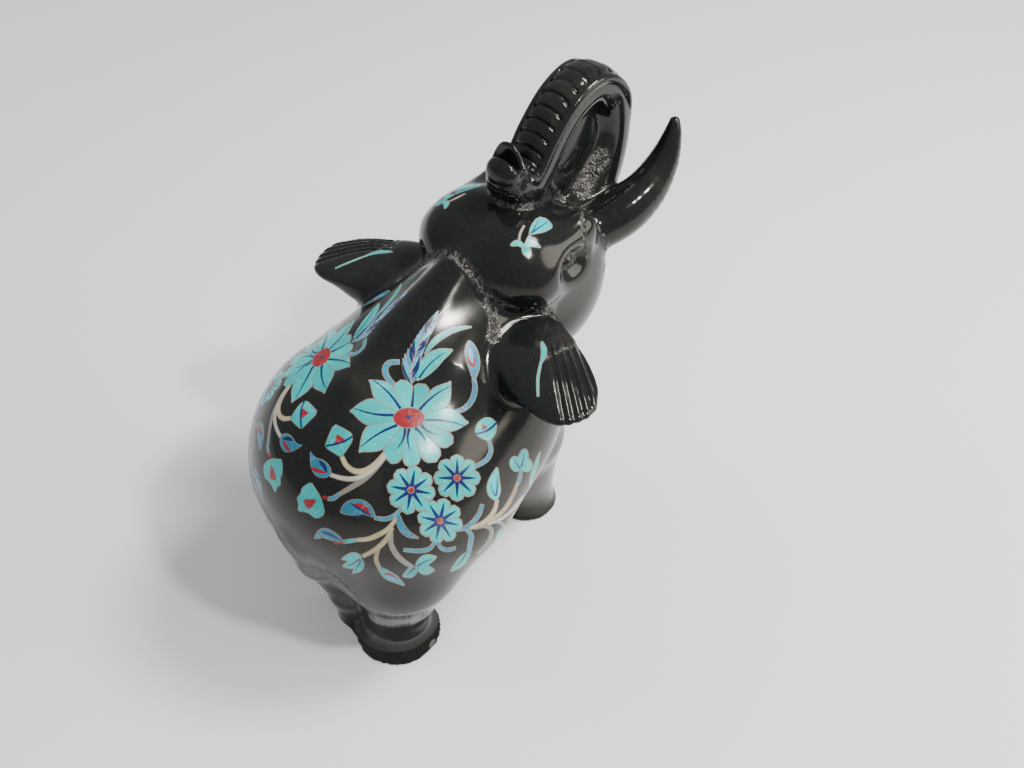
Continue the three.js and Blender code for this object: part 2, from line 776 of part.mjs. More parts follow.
// A plate of stone between an inner and an outer closed line of the drawing, and its pocket.
// The inner line may be a single spot, the hub of the plate.
function plate(name, colour, inner, outer, side, rings = 1) {
  const hub = inner.length === 1;
  const from = (i) => (hub ? inner[0] : inner[i]);
  const rows = (grow) => {
    const shrunk = outer.map((spot, i) => (hub ? inner[0] : towards(from(i), spot, -grow)));
    const grown = outer.map((spot, i) => towards(spot, from(i), -grow));
    const shares = Array.from({ length: rings + 1 }, (_, n) => n / rings);
    return shares.map((t) => shrunk.map(([a, b], i) => {
      return laid([mix(a, grown[i][0], t), mix(b, grown[i][1], t)], side);
    }));
  };
  const solid = slab(rows(0), -FLUSH, PLATE, true);
  const pocket = slab(rows(DRAWN_GAP), 1.2, PLATE + GAP, true);
  return { name, colour, solid, pocket };
}

// Moves a spot of the drawing by a step towards another spot, unless the two are one.
function towards([a, b], [c, d], step) {
  const span = hypot(c - a, d - b);
  return span < 1e-6 ? [a, b] : [a + ((c - a) / span) * step, b + ((d - b) / span) * step];
}

const spotAt = ([a, b], degrees, radius) => {
  const turn = THREE.MathUtils.degToRad(degrees);
  return [a + Math.cos(turn) * radius, b - Math.sin(turn) * radius];
};

// Petals of the large flower: direction in degrees, reach, and 1 where the tip is pointed
const FLOWER = { middle: [409, 418], heart: [17.5, 11.5] };
const PETALS = [
  [38, 55, 1],
  [64, 37, 0],
  [102, 38, 0],
  [133, 54, 1],
  [170, 58, 1],
  [211, 59, 1],
  [249, 47, 0],
  [272, 46, 0],
  [302, 48, 0],
  [330, 48, 0],
  [352, 57, 1],
];

// The outline of the petals, with the valleys between them.
function petalLine() {
  const line = [];
  PETALS.forEach(([angle, reach, pointed], i) => {
    const [next, nextReach] = PETALS[(i + 1) % PETALS.length];
    const turn = (next - angle + 360) % 360;
    const shoulder = pointed ? 0.84 : 0.97;
    line.push([angle, reach]);
    line.push([angle + turn * 0.28, mix(reach * shoulder, nextReach, 0.1)]);
    line.push([angle + turn * 0.5, Math.min(reach, nextReach) * 0.84]);
    line.push([angle + turn * 0.74, mix(nextReach * 0.9, reach, 0.1)]);
  });
  return line;
}

function flowerPlates(side, word) {
  const line = petalLine();
  const [wide, tall] = FLOWER.heart;
  const oval = (angle, grow) => {
    const turn = THREE.MathUtils.degToRad(angle);
    const radius = 1 / hypot(Math.cos(turn) / (wide + grow), Math.sin(turn) / (tall + grow));
    return spotAt(FLOWER.middle, angle, radius);
  };
  const petals = line.map(([angle, reach]) => spotAt(FLOWER.middle, angle, reach));
  const inner = line.map(([angle]) => oval(angle, 1.2));
  const round = Array.from({ length: 16 }, (_, n) => oval(n * 22.5, 0));
  return [
    plate(`${word}_flower_petals`, TURQUOISE, inner, petals, side, 2),
    plate(`${word}_flower_heart`, CORAL, [FLOWER.middle], round, side),
  ];
}

// Small flowers of eight round petals: middle and reach
const ROSETTES = [
  { middle: [411, 490], reach: 20.8 },
  { middle: [457, 478], reach: 21.5 },
  { middle: [440, 521], reach: 20.4 },
];

function rosettePlates(side, word) {
  return ROSETTES.map(({ middle, reach }, i) => {
    const line = Array.from({ length: 16 }, (_, n) => {
      return spotAt(middle, n * 22.5, n % 2 === 0 ? reach * 0.86 : reach);
    });
    return plate(`${word}_rosette_${i + 1}`, TURQUOISE, [middle], line, side);
  });
}

// Buds, a butterfly and leaves, each drawn as a short closed line
const SHAPES = {
  bud_1: [[334, 425], [351, 434], [351, 443], [341, 456], [326, 447], [327, 439]],
  bud_2: [[311, 452], [320, 459], [329, 464], [331, 472], [326, 477], [317, 476], [310, 467]],
  bud_3: [[484, 418], [493, 418], [497, 425], [493, 437], [486, 440], [476, 437], [474, 427]],
  butterfly: [[311, 483], [318, 493], [325, 514], [315, 518], [305, 513], [298, 503], [303, 488]],
  leaf_1: [[406, 374], [413, 349], [429, 322], [449, 307], [442, 333], [426, 352], [413, 374]],
  leaf_2: [[417, 378], [424, 363], [435, 353], [449, 350], [441, 362], [428, 377]],
  head_leaf: [[529, 235], [531, 225], [538, 216], [547, 219], [553, 228], [541, 231]],
};
const SHAPE_COLOURS = { bud_2: "blue", leaf_1: "blue" };

function shapePlates(side, word) {
  return Object.entries(SHAPES).map(([name, line]) => {
    const middle = [0, 1].map((axis) => line.reduce((sum, spot) => sum + spot[axis], 0) / line.length);
    const colour = SHAPE_COLOURS[name] === "blue" ? LAPIS : TURQUOISE;
    return plate(`${word}_${name}`, colour, [middle], line, side);
  });
}

const MARBLE = 0x14181a;
const TURQUOISE = 0x6fc9c4;
const CORAL = 0xa8433c;
const LAPIS = 0x4b78a8;

const plates = [[-1, "right"], [1, "left"]].flatMap(([side, word]) => [
  ...flowerPlates(side, word),
  ...rosettePlates(side, word),
  ...shapePlates(side, word),
]);

const floorBlock = new THREE.BoxGeometry(400, 400, 60).translate(0, 0, -30);
let body = solidOfMesh(thinned).subtract(solidOfGeometry(floorBlock));
for (const cut of ringCuts()) body = body.subtract(cut);
for (const { pocket } of plates) body = body.subtract(pocket);
// Edges too short for a STEP file are folded away.
const SHORTEST = 0.002;
body = body.simplify(SHORTEST);

// The origin goes to the middle of the foot of the bounding box.
const { min, max } = body.boundingBox();
const centred = [0, 1].map((axis) => -Math.round((min[axis] + max[axis]) * 5) / 10);
const shift = [...centred, 0];

const statue = new THREE.Group();
function place(name, solid, colour, roughness) {
  const material = new THREE.MeshStandardMaterial({ color: colour, roughness, metalness: 0 });
  const mesh = new THREE.Mesh(geometryOf(solid.translate(shift)), material);
  mesh.name = name;
  statue.add(mesh);
}
place("marble_elephant", body, MARBLE, 0.12);
for (const { name, solid, colour } of plates) place(name, solid, colour, 0.3);
export default statue;
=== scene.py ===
"""A black marble elephant with inlaid stone flowers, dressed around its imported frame.

The block is carved once, finely, as one mesh. The flowers are drawn flat on a sheet, as they look
from an eye above and behind one flank, and are then laid onto the skin of the block.
"""

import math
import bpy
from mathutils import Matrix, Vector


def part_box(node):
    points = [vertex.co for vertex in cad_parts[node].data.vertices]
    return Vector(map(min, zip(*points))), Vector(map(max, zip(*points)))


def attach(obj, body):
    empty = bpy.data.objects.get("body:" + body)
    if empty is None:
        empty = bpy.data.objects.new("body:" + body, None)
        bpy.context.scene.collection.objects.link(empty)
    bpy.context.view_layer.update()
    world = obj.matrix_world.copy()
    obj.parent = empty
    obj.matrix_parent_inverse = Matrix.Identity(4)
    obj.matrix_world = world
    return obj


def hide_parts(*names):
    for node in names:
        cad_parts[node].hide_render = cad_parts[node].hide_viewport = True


bl_info = {
    "name": "Inlaid Marble Elephant",
    "version": (1, 0, 0),
    "blender": (4, 5, 0),
    "location": "3D View > Sidebar > Elephant",
    "description": "Carves a polished marble elephant and lays stone flowers into its flanks",
    "category": "Add Mesh",
}

import bmesh
import bpy
import numpy as np
from mathutils import Vector

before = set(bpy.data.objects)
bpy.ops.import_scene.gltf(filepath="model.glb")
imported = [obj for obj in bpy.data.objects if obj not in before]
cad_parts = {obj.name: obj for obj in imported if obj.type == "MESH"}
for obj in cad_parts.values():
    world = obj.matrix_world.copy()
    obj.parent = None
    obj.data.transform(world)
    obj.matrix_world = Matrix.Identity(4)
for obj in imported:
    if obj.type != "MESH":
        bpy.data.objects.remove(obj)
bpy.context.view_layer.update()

# The block is shaped in millimetres round a point under its spine. The frame's origin lies
# under the middle of its bounding box, this far away.
SHIFT = np.array([-36.0, 0.4, 0.0])
MM = 0.001

# Eggs of the torso, each tipped nose-up by its pitch in degrees
BODY = {"x": -13, "z": 84, "length": 110, "width": 117, "height": 102, "pitch": 0}
SHOULDER = {"x": 26, "z": 94, "length": 84, "width": 101, "height": 92, "pitch": 20}
CHEST = {"x": 50, "z": 86, "length": 50, "width": 58, "height": 80, "pitch": 10}
# Round limbs: both ends, then the radius at each. The tail is a run of them
NECK = ((18, 0, 118), (48, 0, 136), 30, 24)
SPINE = ((-24, 0, 130), (34, 0, 156), 4, 4)
TAIL = [
    ((-61, 1, 78), (-57, 1, 54), 5, 5.5),
    ((-57, 1, 54), (-46, 0, 20), 5.5, 6),
    ((-46, 0, 20), (-41, 0, -4), 6, 9),
]
TAIL_WEB = ((-40, 0, 60), (-36, 0, 22), 16, 8)
BROW = ((50, 24, 150), (80, 22, 159), 8, 7)
FLARE_HEIGHT = 7
BELL_HEIGHT = 24
EDGE_ROUNDING = 1.4
# Feet: centre, then where the leg enters the body, then the radii of thigh, ankle and rim
LEGS = [
    ((-36, -21), (-35, -26, 52), 22, 12.5, 19.8),
    ((-22, 21), (-30, 24, 52), 22, 12.5, 18.8),
    ((58, -15), (50, -21, 58), 16.5, 12, 15.6),
    ((50, 17), (50, 22, 58), 16.5, 12, 15.6),
]
# Eggs of the head: middle, half sizes and pitch, with y as the distance to its middle plane
SKULL = ((60, 0, 147), (28, 27, 24), 12)
DOME = ((53, 14.5, 152.5), (20, 17, 17.5))
CHEEK = ((75, 17, 129), (24, 15.5, 31), -14)
JAW = ((87, 0, 112), (22, 13, 10.5), 20)
MOUTH = ((108, 0, 127.5), (19, 11, 3.6), 32)
EYE_SOCKET = ((67, 32.6, 153), (9, 6, 5.4))
EYEBALL = ((67, 27, 152), (3.6, 2, 2.4))
# Middle line of the trunk: x, z, half depth, half width
TRUNK = [
    (84, 138, 17, 17),
    (103, 148, 14, 15),
    (117, 163, 11, 12.5),
    (123, 179, 9, 10.5),
    (120, 193.5, 8.2, 10),
    (109, 202.5, 8.2, 9.6),
    (96, 200, 8.4, 9.2),
    (84, 190, 8.6, 9.2),
    (76, 180, 8.8, 9.3),
    (69.5, 176, 9.2, 9.6),
    (63, 180.5, 8.4, 9.2),
    (61.5, 185, 6, 7),
]
TRUNK_STEPS = 66
# The two lips of its tip, the gap between them, and the stone left inside its loop
BACK_LIP = ((59, 0, 185.5), (4, 6.8, 6))
FRONT_LIP = ((64.6, 1.5, 188.3), (3.8, 6.6, 8), 8)
LIP_GAP = ((61.8, 0, 194), (1.8, 12, 7))
LOOP_WEB = ((103, 0, 174), (19, 5, 27), -14)
LOOP_FOOT = ((80, 0, 170), (10, 6, 9))
# Middle line of a tusk: x, y, z, radius
TUSK = [
    (96, 17, 146, 10.5),
    (108, 22, 150, 10.6),
    (121, 25, 156, 9),
    (131, 26, 166, 6.5),
    (136.3, 25.5, 176, 3.9),
    (137.6, 25, 181, 2.4),
]
TUSK_STEPS = 20
EAR = {"root": (40, 28, 135), "tip": (20, 72.2, 128.5), "half": 16.2, "thick": 5.5,
       "middle": 0.36, "squareness": 2.6, "flutes": 4.5, "flute_depth": 0.9}
EAR_LOBE = ((28, 43, 128), (14, 18, 9))
# Small parts are worked out only in and near their boxes
CLEAR = 12
HEAD_BOX = ((26, 0, 94), (112, 36, 176))
EAR_BOX = ((6, 14, 112), (62, 82, 148))
TRUNK_BOX = ((44, -18, 120), (130, 18, 208))
TUSK_BOX = ((84, 5, 134), (142, 36, 186))
TINY = 1e-9


def smooth(low, high, value):
    """Rises softly from 0 at low to 1 at high."""
    t = np.clip((value - low) / (high - low), 0, 1)
    return t * t * (3 - 2 * t)


def join(a, b, k):
    """Two forms flow into one another over the reach k."""
    h = np.maximum(k - np.abs(a - b), 0) / k
    return np.minimum(a, b) - h * h * k / 4


def hollow(a, b, k):
    """One form is hollowed by another, with an edge rounded over k."""
    return -join(-a, b, k)


def egg(x, y, z, centre, half, pitch=0):
    """Distance to an egg with its own half sizes, tipped nose-up by a pitch in degrees."""
    turn = math.radians(pitch)
    dx, dz = x - centre[0], z - centre[2]
    u = dx * math.cos(turn) + dz * math.sin(turn)
    w = dz * math.cos(turn) - dx * math.sin(turn)
    v = y - centre[1]
    near = np.sqrt((u / half[0]) ** 2 + (v / half[1]) ** 2 + (w / half[2]) ** 2)
    steep = np.sqrt((u / half[0] ** 2) ** 2 + (v / half[1] ** 2) ** 2 + (w / half[2] ** 2) ** 2)
    return np.where(steep < TINY, -min(half), near * (near - 1) / np.maximum(steep, TINY))


def limb(x, y, z, a, b, radius_a, radius_b):
    """Distance to a round limb that tapers from one end to the other."""
    ax, ay, az = b[0] - a[0], b[1] - a[1], b[2] - a[2]
    px, py, pz = x - a[0], y - a[1], z - a[2]
    t = np.clip((px * ax + py * ay + pz * az) / (ax * ax + ay * ay + az * az), 0, 1)
    gap = np.sqrt((px - ax * t) ** 2 + (py - ay * t) ** 2 + (pz - az * t) ** 2)
    return gap - (radius_a + (radius_b - radius_a) * t)


def outside(x, y, z, box):
    """How far points are outside a box."""
    low, high = box
    dx = np.maximum(np.maximum(low[0] - x, x - high[0]), 0)
    dy = np.maximum(np.maximum(low[1] - y, y - high[1]), 0)
    dz = np.maximum(np.maximum(low[2] - z, z - high[2]), 0)
    return np.sqrt(dx * dx + dy * dy + dz * dz)


def near_only(form, box, x, y, z):
    """Works a form out only near its box, and gives the way to the box further off."""
    d = outside(x, y, z, box)
    close = d <= CLEAR
    if close.any():
        d[close] = form(x[close], y[close], z[close])
    return d


def torso_egg(x, y, z, size):
    half = (size["length"] / 2, size["width"] / 2, size["height"] / 2)
    return egg(x, y, z, (size["x"], 0, size["z"]), half, size["pitch"])


def torso(x, y, z):
    """The round body with its shoulder, chest, neck and the ridge along the spine."""
    d = torso_egg(x, y, z, BODY)
    d = join(d, torso_egg(x, y, z, SHOULDER), 18)
    d = join(d, torso_egg(x, y, z, CHEST), 18)
    d = join(d, limb(x, y, z, *NECK), 16)
    return join(d, limb(x, y, z, *SPINE), 16)


def leg(x, y, z, foot, top, thigh, ankle, rim):
    """A tapered leg that ends in a flared foot."""
    fx, fy = foot
    d = limb(x, y, z, top, (fx, fy, 10), thigh, ankle)
    waist = ankle - 1.5
    flare = waist + (rim - waist) * np.exp(-np.maximum(z, 0) / FLARE_HEIGHT)
    bell = np.maximum((np.hypot(x - fx, y - fy) - flare) * 0.85, z - BELL_HEIGHT)
    return join(d, bell, 4)


def tail(x, y, z):
    """The tail between the hind legs, with the web of stone that holds it."""
    d = limb(x, y, z, *TAIL[0])
    for part in TAIL[1:]:
        d = join(d, limb(x, y, z, *part), 6)
    return join(d, limb(x, y, z, *TAIL_WEB), 12)


def head(x, y, z):
    """Skull with two domes, cheeks, brow, sunk eye and jaw. y is the distance to the middle."""
    d = egg(x, y, z, *SKULL)
    d = join(d, egg(x, y, z, *DOME), 10)
    d = join(d, egg(x, y, z, *CHEEK), 12)
    d = join(d, limb(x, y, z, *BROW), 8)
    d = join(d, egg(x, y, z, *JAW), 8)
    d = hollow(d, egg(x, y, z, *EYE_SOCKET), 6)
    return join(d, egg(x, y, z, *EYEBALL), 1.5)


def ear(x, y, z):
    """A thick leaf swept out and back, smooth behind and pleated in front."""
    root, tip = np.array(EAR["root"], float), np.array(EAR["tip"], float)
    long = np.linalg.norm(tip - root)
    a = (tip - root) / long
    b = np.array([a[1], -a[0], 0]) / math.hypot(a[0], a[1])
    c = np.array([b[1] * a[2], -b[0] * a[2], b[0] * a[1] - b[1] * a[0]])
    p = (x - root[0], y - root[1], z - root[2])
    along = p[0] * a[0] + p[1] * a[1] + p[2] * a[2]
    across = p[0] * b[0] + p[1] * b[1] + p[2] * b[2]
    up = p[0] * c[0] + p[1] * c[1] + p[2] * c[2]
    reach = long * (1 - EAR["middle"])
    u = (along - long * EAR["middle"]) / reach
    v = across / EAR["half"]
    w = up / EAR["thick"]
    power = EAR["squareness"]
    plan = (np.abs(u) ** power + np.abs(v) ** power) ** (1 / power)
    near = np.hypot(plan, w)
    steep = np.sqrt((u / reach) ** 2 + (v / EAR["half"]) ** 2 + (w / EAR["thick"]) ** 2)
    d = np.where(steep < TINY, -EAR["thick"], near * (near - 1) / np.maximum(steep, TINY))
    d = join(d, egg(x, y, z, *EAR_LOBE), 7)
    # The flutes fan out between a lower and an upper line that close in towards the tip
    low = 1.5 - (along - 16) * 0.27
    high = 15.5 - (along - 16) * 0.15
    share = (across - low) / np.maximum(high - low, 1)
    rim = smooth(0.03, 0.14, 1 - plan)
    fan = smooth(0, 0.1, share) * smooth(13, 18, along) * (0.35 + 0.65 * rim)
    groove = 0.5 - 0.5 * np.cos(share * EAR["flutes"] * 2 * math.pi)
    return d + fan * (0.2 + EAR["flute_depth"] * groove)


def spline(points, steps):
    """Points of a smooth line through the given ones, spaced by the roots of their distances."""
    p = np.array(points, float)
    ends = [2 * p[0] - p[1], *p, 2 * p[-1] - p[-2]]
    out = []
    for i in range(steps + 1):
        at = min(i / steps * (len(p) - 1), len(p) - 1 - 1e-9)
        n = int(at)
        t = at - n
        x0, x1, x2, x3 = ends[n : n + 4]
        d0, d1, d2 = (math.sqrt(np.linalg.norm(q - r)) for q, r in ((x0, x1), (x1, x2), (x2, x3)))
        start = ((x1 - x0) / d0 - (x2 - x0) / (d0 + d1) + (x2 - x1) / d1) * d1
        end = ((x2 - x1) / d1 - (x3 - x1) / (d1 + d2) + (x3 - x2) / d2) * d1
        square = -3 * x1 + 3 * x2 - 2 * start - end
        cube = 2 * x1 - 2 * x2 + start + end
        out.append(x1 + t * (start + t * (square + t * cube)))
    return np.array(out)


TRUNK_RUN = np.hstack([
    spline([(x, 0, z) for x, z, _, _ in TRUNK], TRUNK_STEPS)[:, [0, 2]],
    spline([(depth, width, 0) for _, _, depth, width in TRUNK], TRUNK_STEPS)[:, :2],
])
TRUNK_LENGTHS = np.concatenate([
    [0], np.cumsum(np.hypot(*np.diff(TRUNK_RUN[:, :2], axis=0).T))
])
RING_PITCH = 4.9
RING_ARCH = 2.4
RING_WIDTH = 0.7
RINGS = 13
RING_RELIEF = 0.55
RING_END = TRUNK_LENGTHS[-1] - 18
RING_START = RING_END - RINGS * RING_PITCH
TUSK_RUN = np.hstack([
    spline([place[:3] for place in TUSK], TUSK_STEPS),
    spline([(place[3], 0, 0) for place in TUSK], TUSK_STEPS)[:, :1],
])


def trunk(x, y, z, marks=False):
    """The raised trunk, with its beaded edges and the arched cuts across its outer face.
    With marks, it gives the count of the cuts and where they show instead."""
    gap = np.full(x.shape, np.inf)
    depth, width, run, out = (np.zeros(x.shape) for _ in range(4))
    for i in range(TRUNK_STEPS):
        p, q = TRUNK_RUN[i], TRUNK_RUN[i + 1]
        ax, az = q[0] - p[0], q[1] - p[1]
        t = np.clip(((x - p[0]) * ax + (z - p[1]) * az) / (ax * ax + az * az), 0, 1)
        here = np.hypot(x - p[0] - ax * t, z - p[1] - az * t)
        closer = here < gap
        gap = np.where(closer, here, gap)
        depth = np.where(closer, p[2] + (q[2] - p[2]) * t, depth)
        width = np.where(closer, p[3] + (q[3] - p[3]) * t, width)
        way = TRUNK_LENGTHS[i] + (TRUNK_LENGTHS[i + 1] - TRUNK_LENGTHS[i]) * t
        run = np.where(closer, way, run)
        side = (x - p[0]) * az - (z - p[1]) * ax
        out = np.where(closer, np.sign(side) * here, out)
    u, v = np.abs(out) / depth, np.abs(y) / width
    near = (u**2.5 + v**2.5) ** 0.4
    d = (near - 1) * np.minimum(depth, width)
    rise = smooth(RING_START - 14, RING_START + 4, run)
    bead = np.hypot(out - 0.55 * depth, np.abs(y) - 0.86 * width) - 1.9 * rise
    d = join(d, bead, 1.2)
    turn, ringed = ring_turn(run, out / depth, v)
    cut = np.abs(turn - np.round(turn)) * RING_PITCH
    if marks:
        return turn, ringed
    return d + ringed * RING_RELIEF * np.exp(-((cut / RING_WIDTH) ** 2))


def ring_turn(run, out, v):
    """Counts the ring cuts along the trunk, arched over its width, and where they show."""
    turn = (run - RING_ARCH * v * v - RING_END) / RING_PITCH
    shown = smooth(0.25, 0.45, out) * (1 - smooth(0.72, 0.82, v))
    return turn, shown * smooth(-RINGS, -RINGS + 1, turn) * (1 - smooth(0.4, 0.6, turn))


def raised(x, y, z):
    """The trunk with the two lips of its tip and the web of stone left inside its loop."""
    d = trunk(x, y, z)
    d = join(d, egg(x, y, z, *BACK_LIP), 3)
    d = join(d, egg(x, y, z, *FRONT_LIP), 3)
    d = hollow(d, egg(x, y, z, *LIP_GAP), 2)
    d = join(d, egg(x, y, z, *LOOP_WEB), 4)
    return join(d, egg(x, y, z, *LOOP_FOOT), 4)


def tusk(x, y, z):
    """A tusk as a chain of short cones along its middle line."""
    d = np.full(x.shape, np.inf)
    for p, q in zip(TUSK_RUN, TUSK_RUN[1:]):
        d = np.minimum(d, limb(x, y, z, p[:3], q[:3], p[3], q[3]))
    return d


def elephant(x, y, z):
    """The whole block: negative inside the marble."""
    side = np.abs(y)
    d = torso(x, y, z)
    for one in LEGS:
        d = join(d, leg(x, y, z, *one), 16)
    d = join(d, tail(x, y, z), 9)
    d = join(d, near_only(head, HEAD_BOX, x, side, z), 4)
    d = join(d, near_only(ear, EAR_BOX, x, side, z), 4)
    d = join(d, near_only(raised, TRUNK_BOX, x, y, z), 4)
    d = join(d, near_only(tusk, TUSK_BOX, x, side, z), 3)
    return hollow(d, egg(x, y, z, *MOUTH), 3)


def standing(x, y, z):
    """The block cut level with the floor, with the edge of the cut just broken."""
    return -join(-elephant(x, y, z), z, EDGE_ROUNDING)


def slope(form, p, h=0.05):
    """The gradient of a form at points p."""
    x, y, z = p.T
    return np.stack([
        form(x + h, y, z) - form(x - h, y, z),
        form(x, y + h, z) - form(x, y - h, z),
        form(x, y, z + h) - form(x, y, z - h),
    ], axis=1) / (2 * h)


def settle(form, p, passes=3, longest=0.6):
    """Moves points onto the true skin of a form."""
    for _ in range(passes):
        g = slope(form, p)
        size = np.maximum((g * g).sum(1), 1e-6)
        step = np.clip(form(*p.T) / size, -longest, longest)
        p = p - g * step[:, None]
    return p


def grid_lines(low, high, fine_spans, fine, coarse):
    """Grid lines from low to high, close together in the fine spans."""
    lines = [low]
    while lines[-1] < high:
        close = any(a <= lines[-1] < b for a, b in fine_spans)
        lines.append(lines[-1] + (fine if close else coarse))
    return np.array(lines)


def skin(form, xs, ys, zs, block=4):
    """Follows the skin of a form through a grid: one point for each cell that it crosses."""
    shape = (len(xs), len(ys), len(zs))
    value = np.empty(shape, np.float32)
    starts = [np.arange(0, n, block) for n in shape]
    mids = [
        lines[np.minimum(s + block // 2, len(lines) - 1)]
        for lines, s in zip((xs, ys, zs), starts)
    ]
    grid = np.stack(np.meshgrid(*mids, indexing="ij"), axis=-1).reshape(-1, 3)
    far = form(*grid.T)
    # A block is looked into where its middle is near the skin, as the form may rise steeply
    half_diagonal = 0.9 * block * max(np.diff(lines).max() for lines in (xs, ys, zs))
    reach = half_diagonal * 1.4 + 1.5
    blocks = far.reshape([len(s) for s in starts])
    for axis in range(3):
        blocks = np.repeat(blocks, block, axis=axis)
    value[:] = blocks[: shape[0], : shape[1], : shape[2]]
    i, j, k = np.nonzero(np.abs(value) < reach)
    value[i, j, k] = form(xs[i], ys[j], zs[k])
    inside = value < 0
    corners = [(a, b, c) for a in (0, 1) for b in (0, 1) for c in (0, 1)]
    span = [slice(None, -1), slice(1, None)]
    count = sum(inside[span[a], span[b], span[c]].astype(np.int8) for a, b, c in corners)
    crossed = (count > 0) & (count < 8)
    number = np.full(crossed.shape, -1)
    number[crossed] = np.arange(crossed.sum())
    i, j, k = np.nonzero(crossed)
    total = np.zeros((len(i), 3))
    hits = np.zeros(len(i))
    for a, b, c in corners:
        for axis in range(3):
            if (a, b, c)[axis]:
                continue
            e, f, g = (n + (axis == m) for m, n in enumerate((a, b, c)))
            v0 = value[i + a, j + b, k + c]
            v1 = value[i + e, j + f, k + g]
            cross = (v0 < 0) != (v1 < 0)
            t = np.where(cross, v0 / np.where(cross, v0 - v1, 1), 0)
            p = np.stack([xs[i + a], ys[j + b], zs[k + c]], axis=1)
            q = np.stack([xs[i + e], ys[j + f], zs[k + g]], axis=1)
            total += np.where(cross[:, None], p + (q - p) * t[:, None], 0)
            hits += cross
    points = total / hits[:, None]
    quads = []
    for axis in range(3):
        first = [slice(1, -1)] * 3
        second = [slice(1, -1)] * 3
        first[axis], second[axis] = slice(None, -1), slice(1, None)
        here, there = inside[tuple(first)], inside[tuple(second)]
        for flip, mask in ((False, here & ~there), (True, ~here & there)):
            at = np.stack(np.nonzero(mask), axis=1)
            at += [0 if m == axis else 1 for m in range(3)]
            one, two = (axis + 1) % 3, (axis + 2) % 3
            ring = []
            for da, db in ((1, 1), (0, 1), (0, 0), (1, 0)):
                cell = at.copy()
                cell[:, one] -= da
                cell[:, two] -= db
                ring.append(number[cell[:, 0], cell[:, 1], cell[:, 2]])
            quad = np.stack(ring, axis=1)
            quads.append(quad[:, ::-1] if flip else quad)
    return points, np.concatenate(quads)


# The sheet on which the flowers are drawn, and the eye that sees it
EYE = {"place": (-203, -236, 434.7), "azimuth": 41.4, "fall": 46}
SHEET = {"reach": 1110, "across": 512, "down": 384}
# A spot starts this far from the eye and has so many steps to the skin, each of them no longer
# than this. It counts as passing the edge of the flank within the last distance
NEAREST = 300.0
STEPS_TO_SKIN = 60
LONGEST_STEP = 20
PASSING = 3


def lay(spots, side):
    """Lays spots of the drawing onto the skin. side is -1 for the right flank, 1 for the left.
    Gives the places and the way the skin faces there."""
    turn, fall = math.radians(EYE["azimuth"]), math.radians(EYE["fall"])
    ahead = np.array([
        math.cos(turn) * math.cos(fall), math.sin(turn) * math.cos(fall), -math.sin(fall)
    ])
    right = np.array([math.sin(turn), -math.cos(turn), 0])
    up = np.array([
        math.cos(turn) * math.sin(fall), math.sin(turn) * math.sin(fall), math.cos(fall)
    ])
    spots = np.asarray(spots, float)
    way = (
        ahead * SHEET["reach"]
        + right * (spots[:, :1] - SHEET["across"])
        + up * (SHEET["down"] - spots[:, 1:2])
    )
    way /= np.linalg.norm(way, axis=1)[:, None]
    start = np.array(EYE["place"], float)
    mirror = np.array([1, -side, 1])
    travelled = np.full(len(spots), NEAREST)
    last = np.full(len(spots), np.inf)
    passed = np.zeros(len(spots), bool)
    for _ in range(STEPS_TO_SKIN):
        p = (start + way * travelled[:, None]) * mirror
        d = elephant(*p.T)
        # A spot that would slip past the edge of the flank stays on that edge
        passed |= (d > last) & (last < PASSING)
        last = d
        travelled += np.where(passed, 0, np.clip(d * 0.8, -2, LONGEST_STEP))
    p = (start + way * travelled[:, None]) * mirror
    p = settle(elephant, p, passes=8, longest=2)
    g = slope(elephant, p)
    return p, g / np.linalg.norm(g, axis=1)[:, None]


def to_frame(points):
    """Millimetres round the spine point to metres in the frame."""
    return (np.asarray(points) + SHIFT) * MM


def new_piece(name, points, faces, material, smooth_shade=True, sharp=None):
    """A mesh object of points in metres, in its place, at the origin."""
    mesh = bpy.data.meshes.new(name)
    mesh.from_pydata(points.tolist(), [], [list(map(int, f)) for f in faces])
    mesh.validate()
    mesh.materials.append(material)
    if smooth_shade:
        mesh.shade_smooth()
    if sharp:
        mesh.set_sharp_from_angle(angle=math.radians(sharp))
    piece = bpy.data.objects.new(name, mesh)
    bpy.context.collection.objects.link(piece)
    return piece


def dress(piece, slot, *nodes):
    """Puts a piece on the block, in place of the frame's own nodes."""
    if nodes:
        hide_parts(*nodes)
    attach(piece, "root")
    return piece


class Nodes:
    """A short way to write a node tree."""

    def __init__(self, tree):
        self.tree = tree

    def add(self, kind, values=None, **settings):
        node = self.tree.nodes.new(kind)
        for key, value in settings.items():
            setattr(node, key, value)
        for key, value in (values or {}).items():
            if isinstance(value, bpy.types.NodeSocket):
                self.tree.links.new(value, node.inputs[key])
            else:
                node.inputs[key].default_value = value
        return node


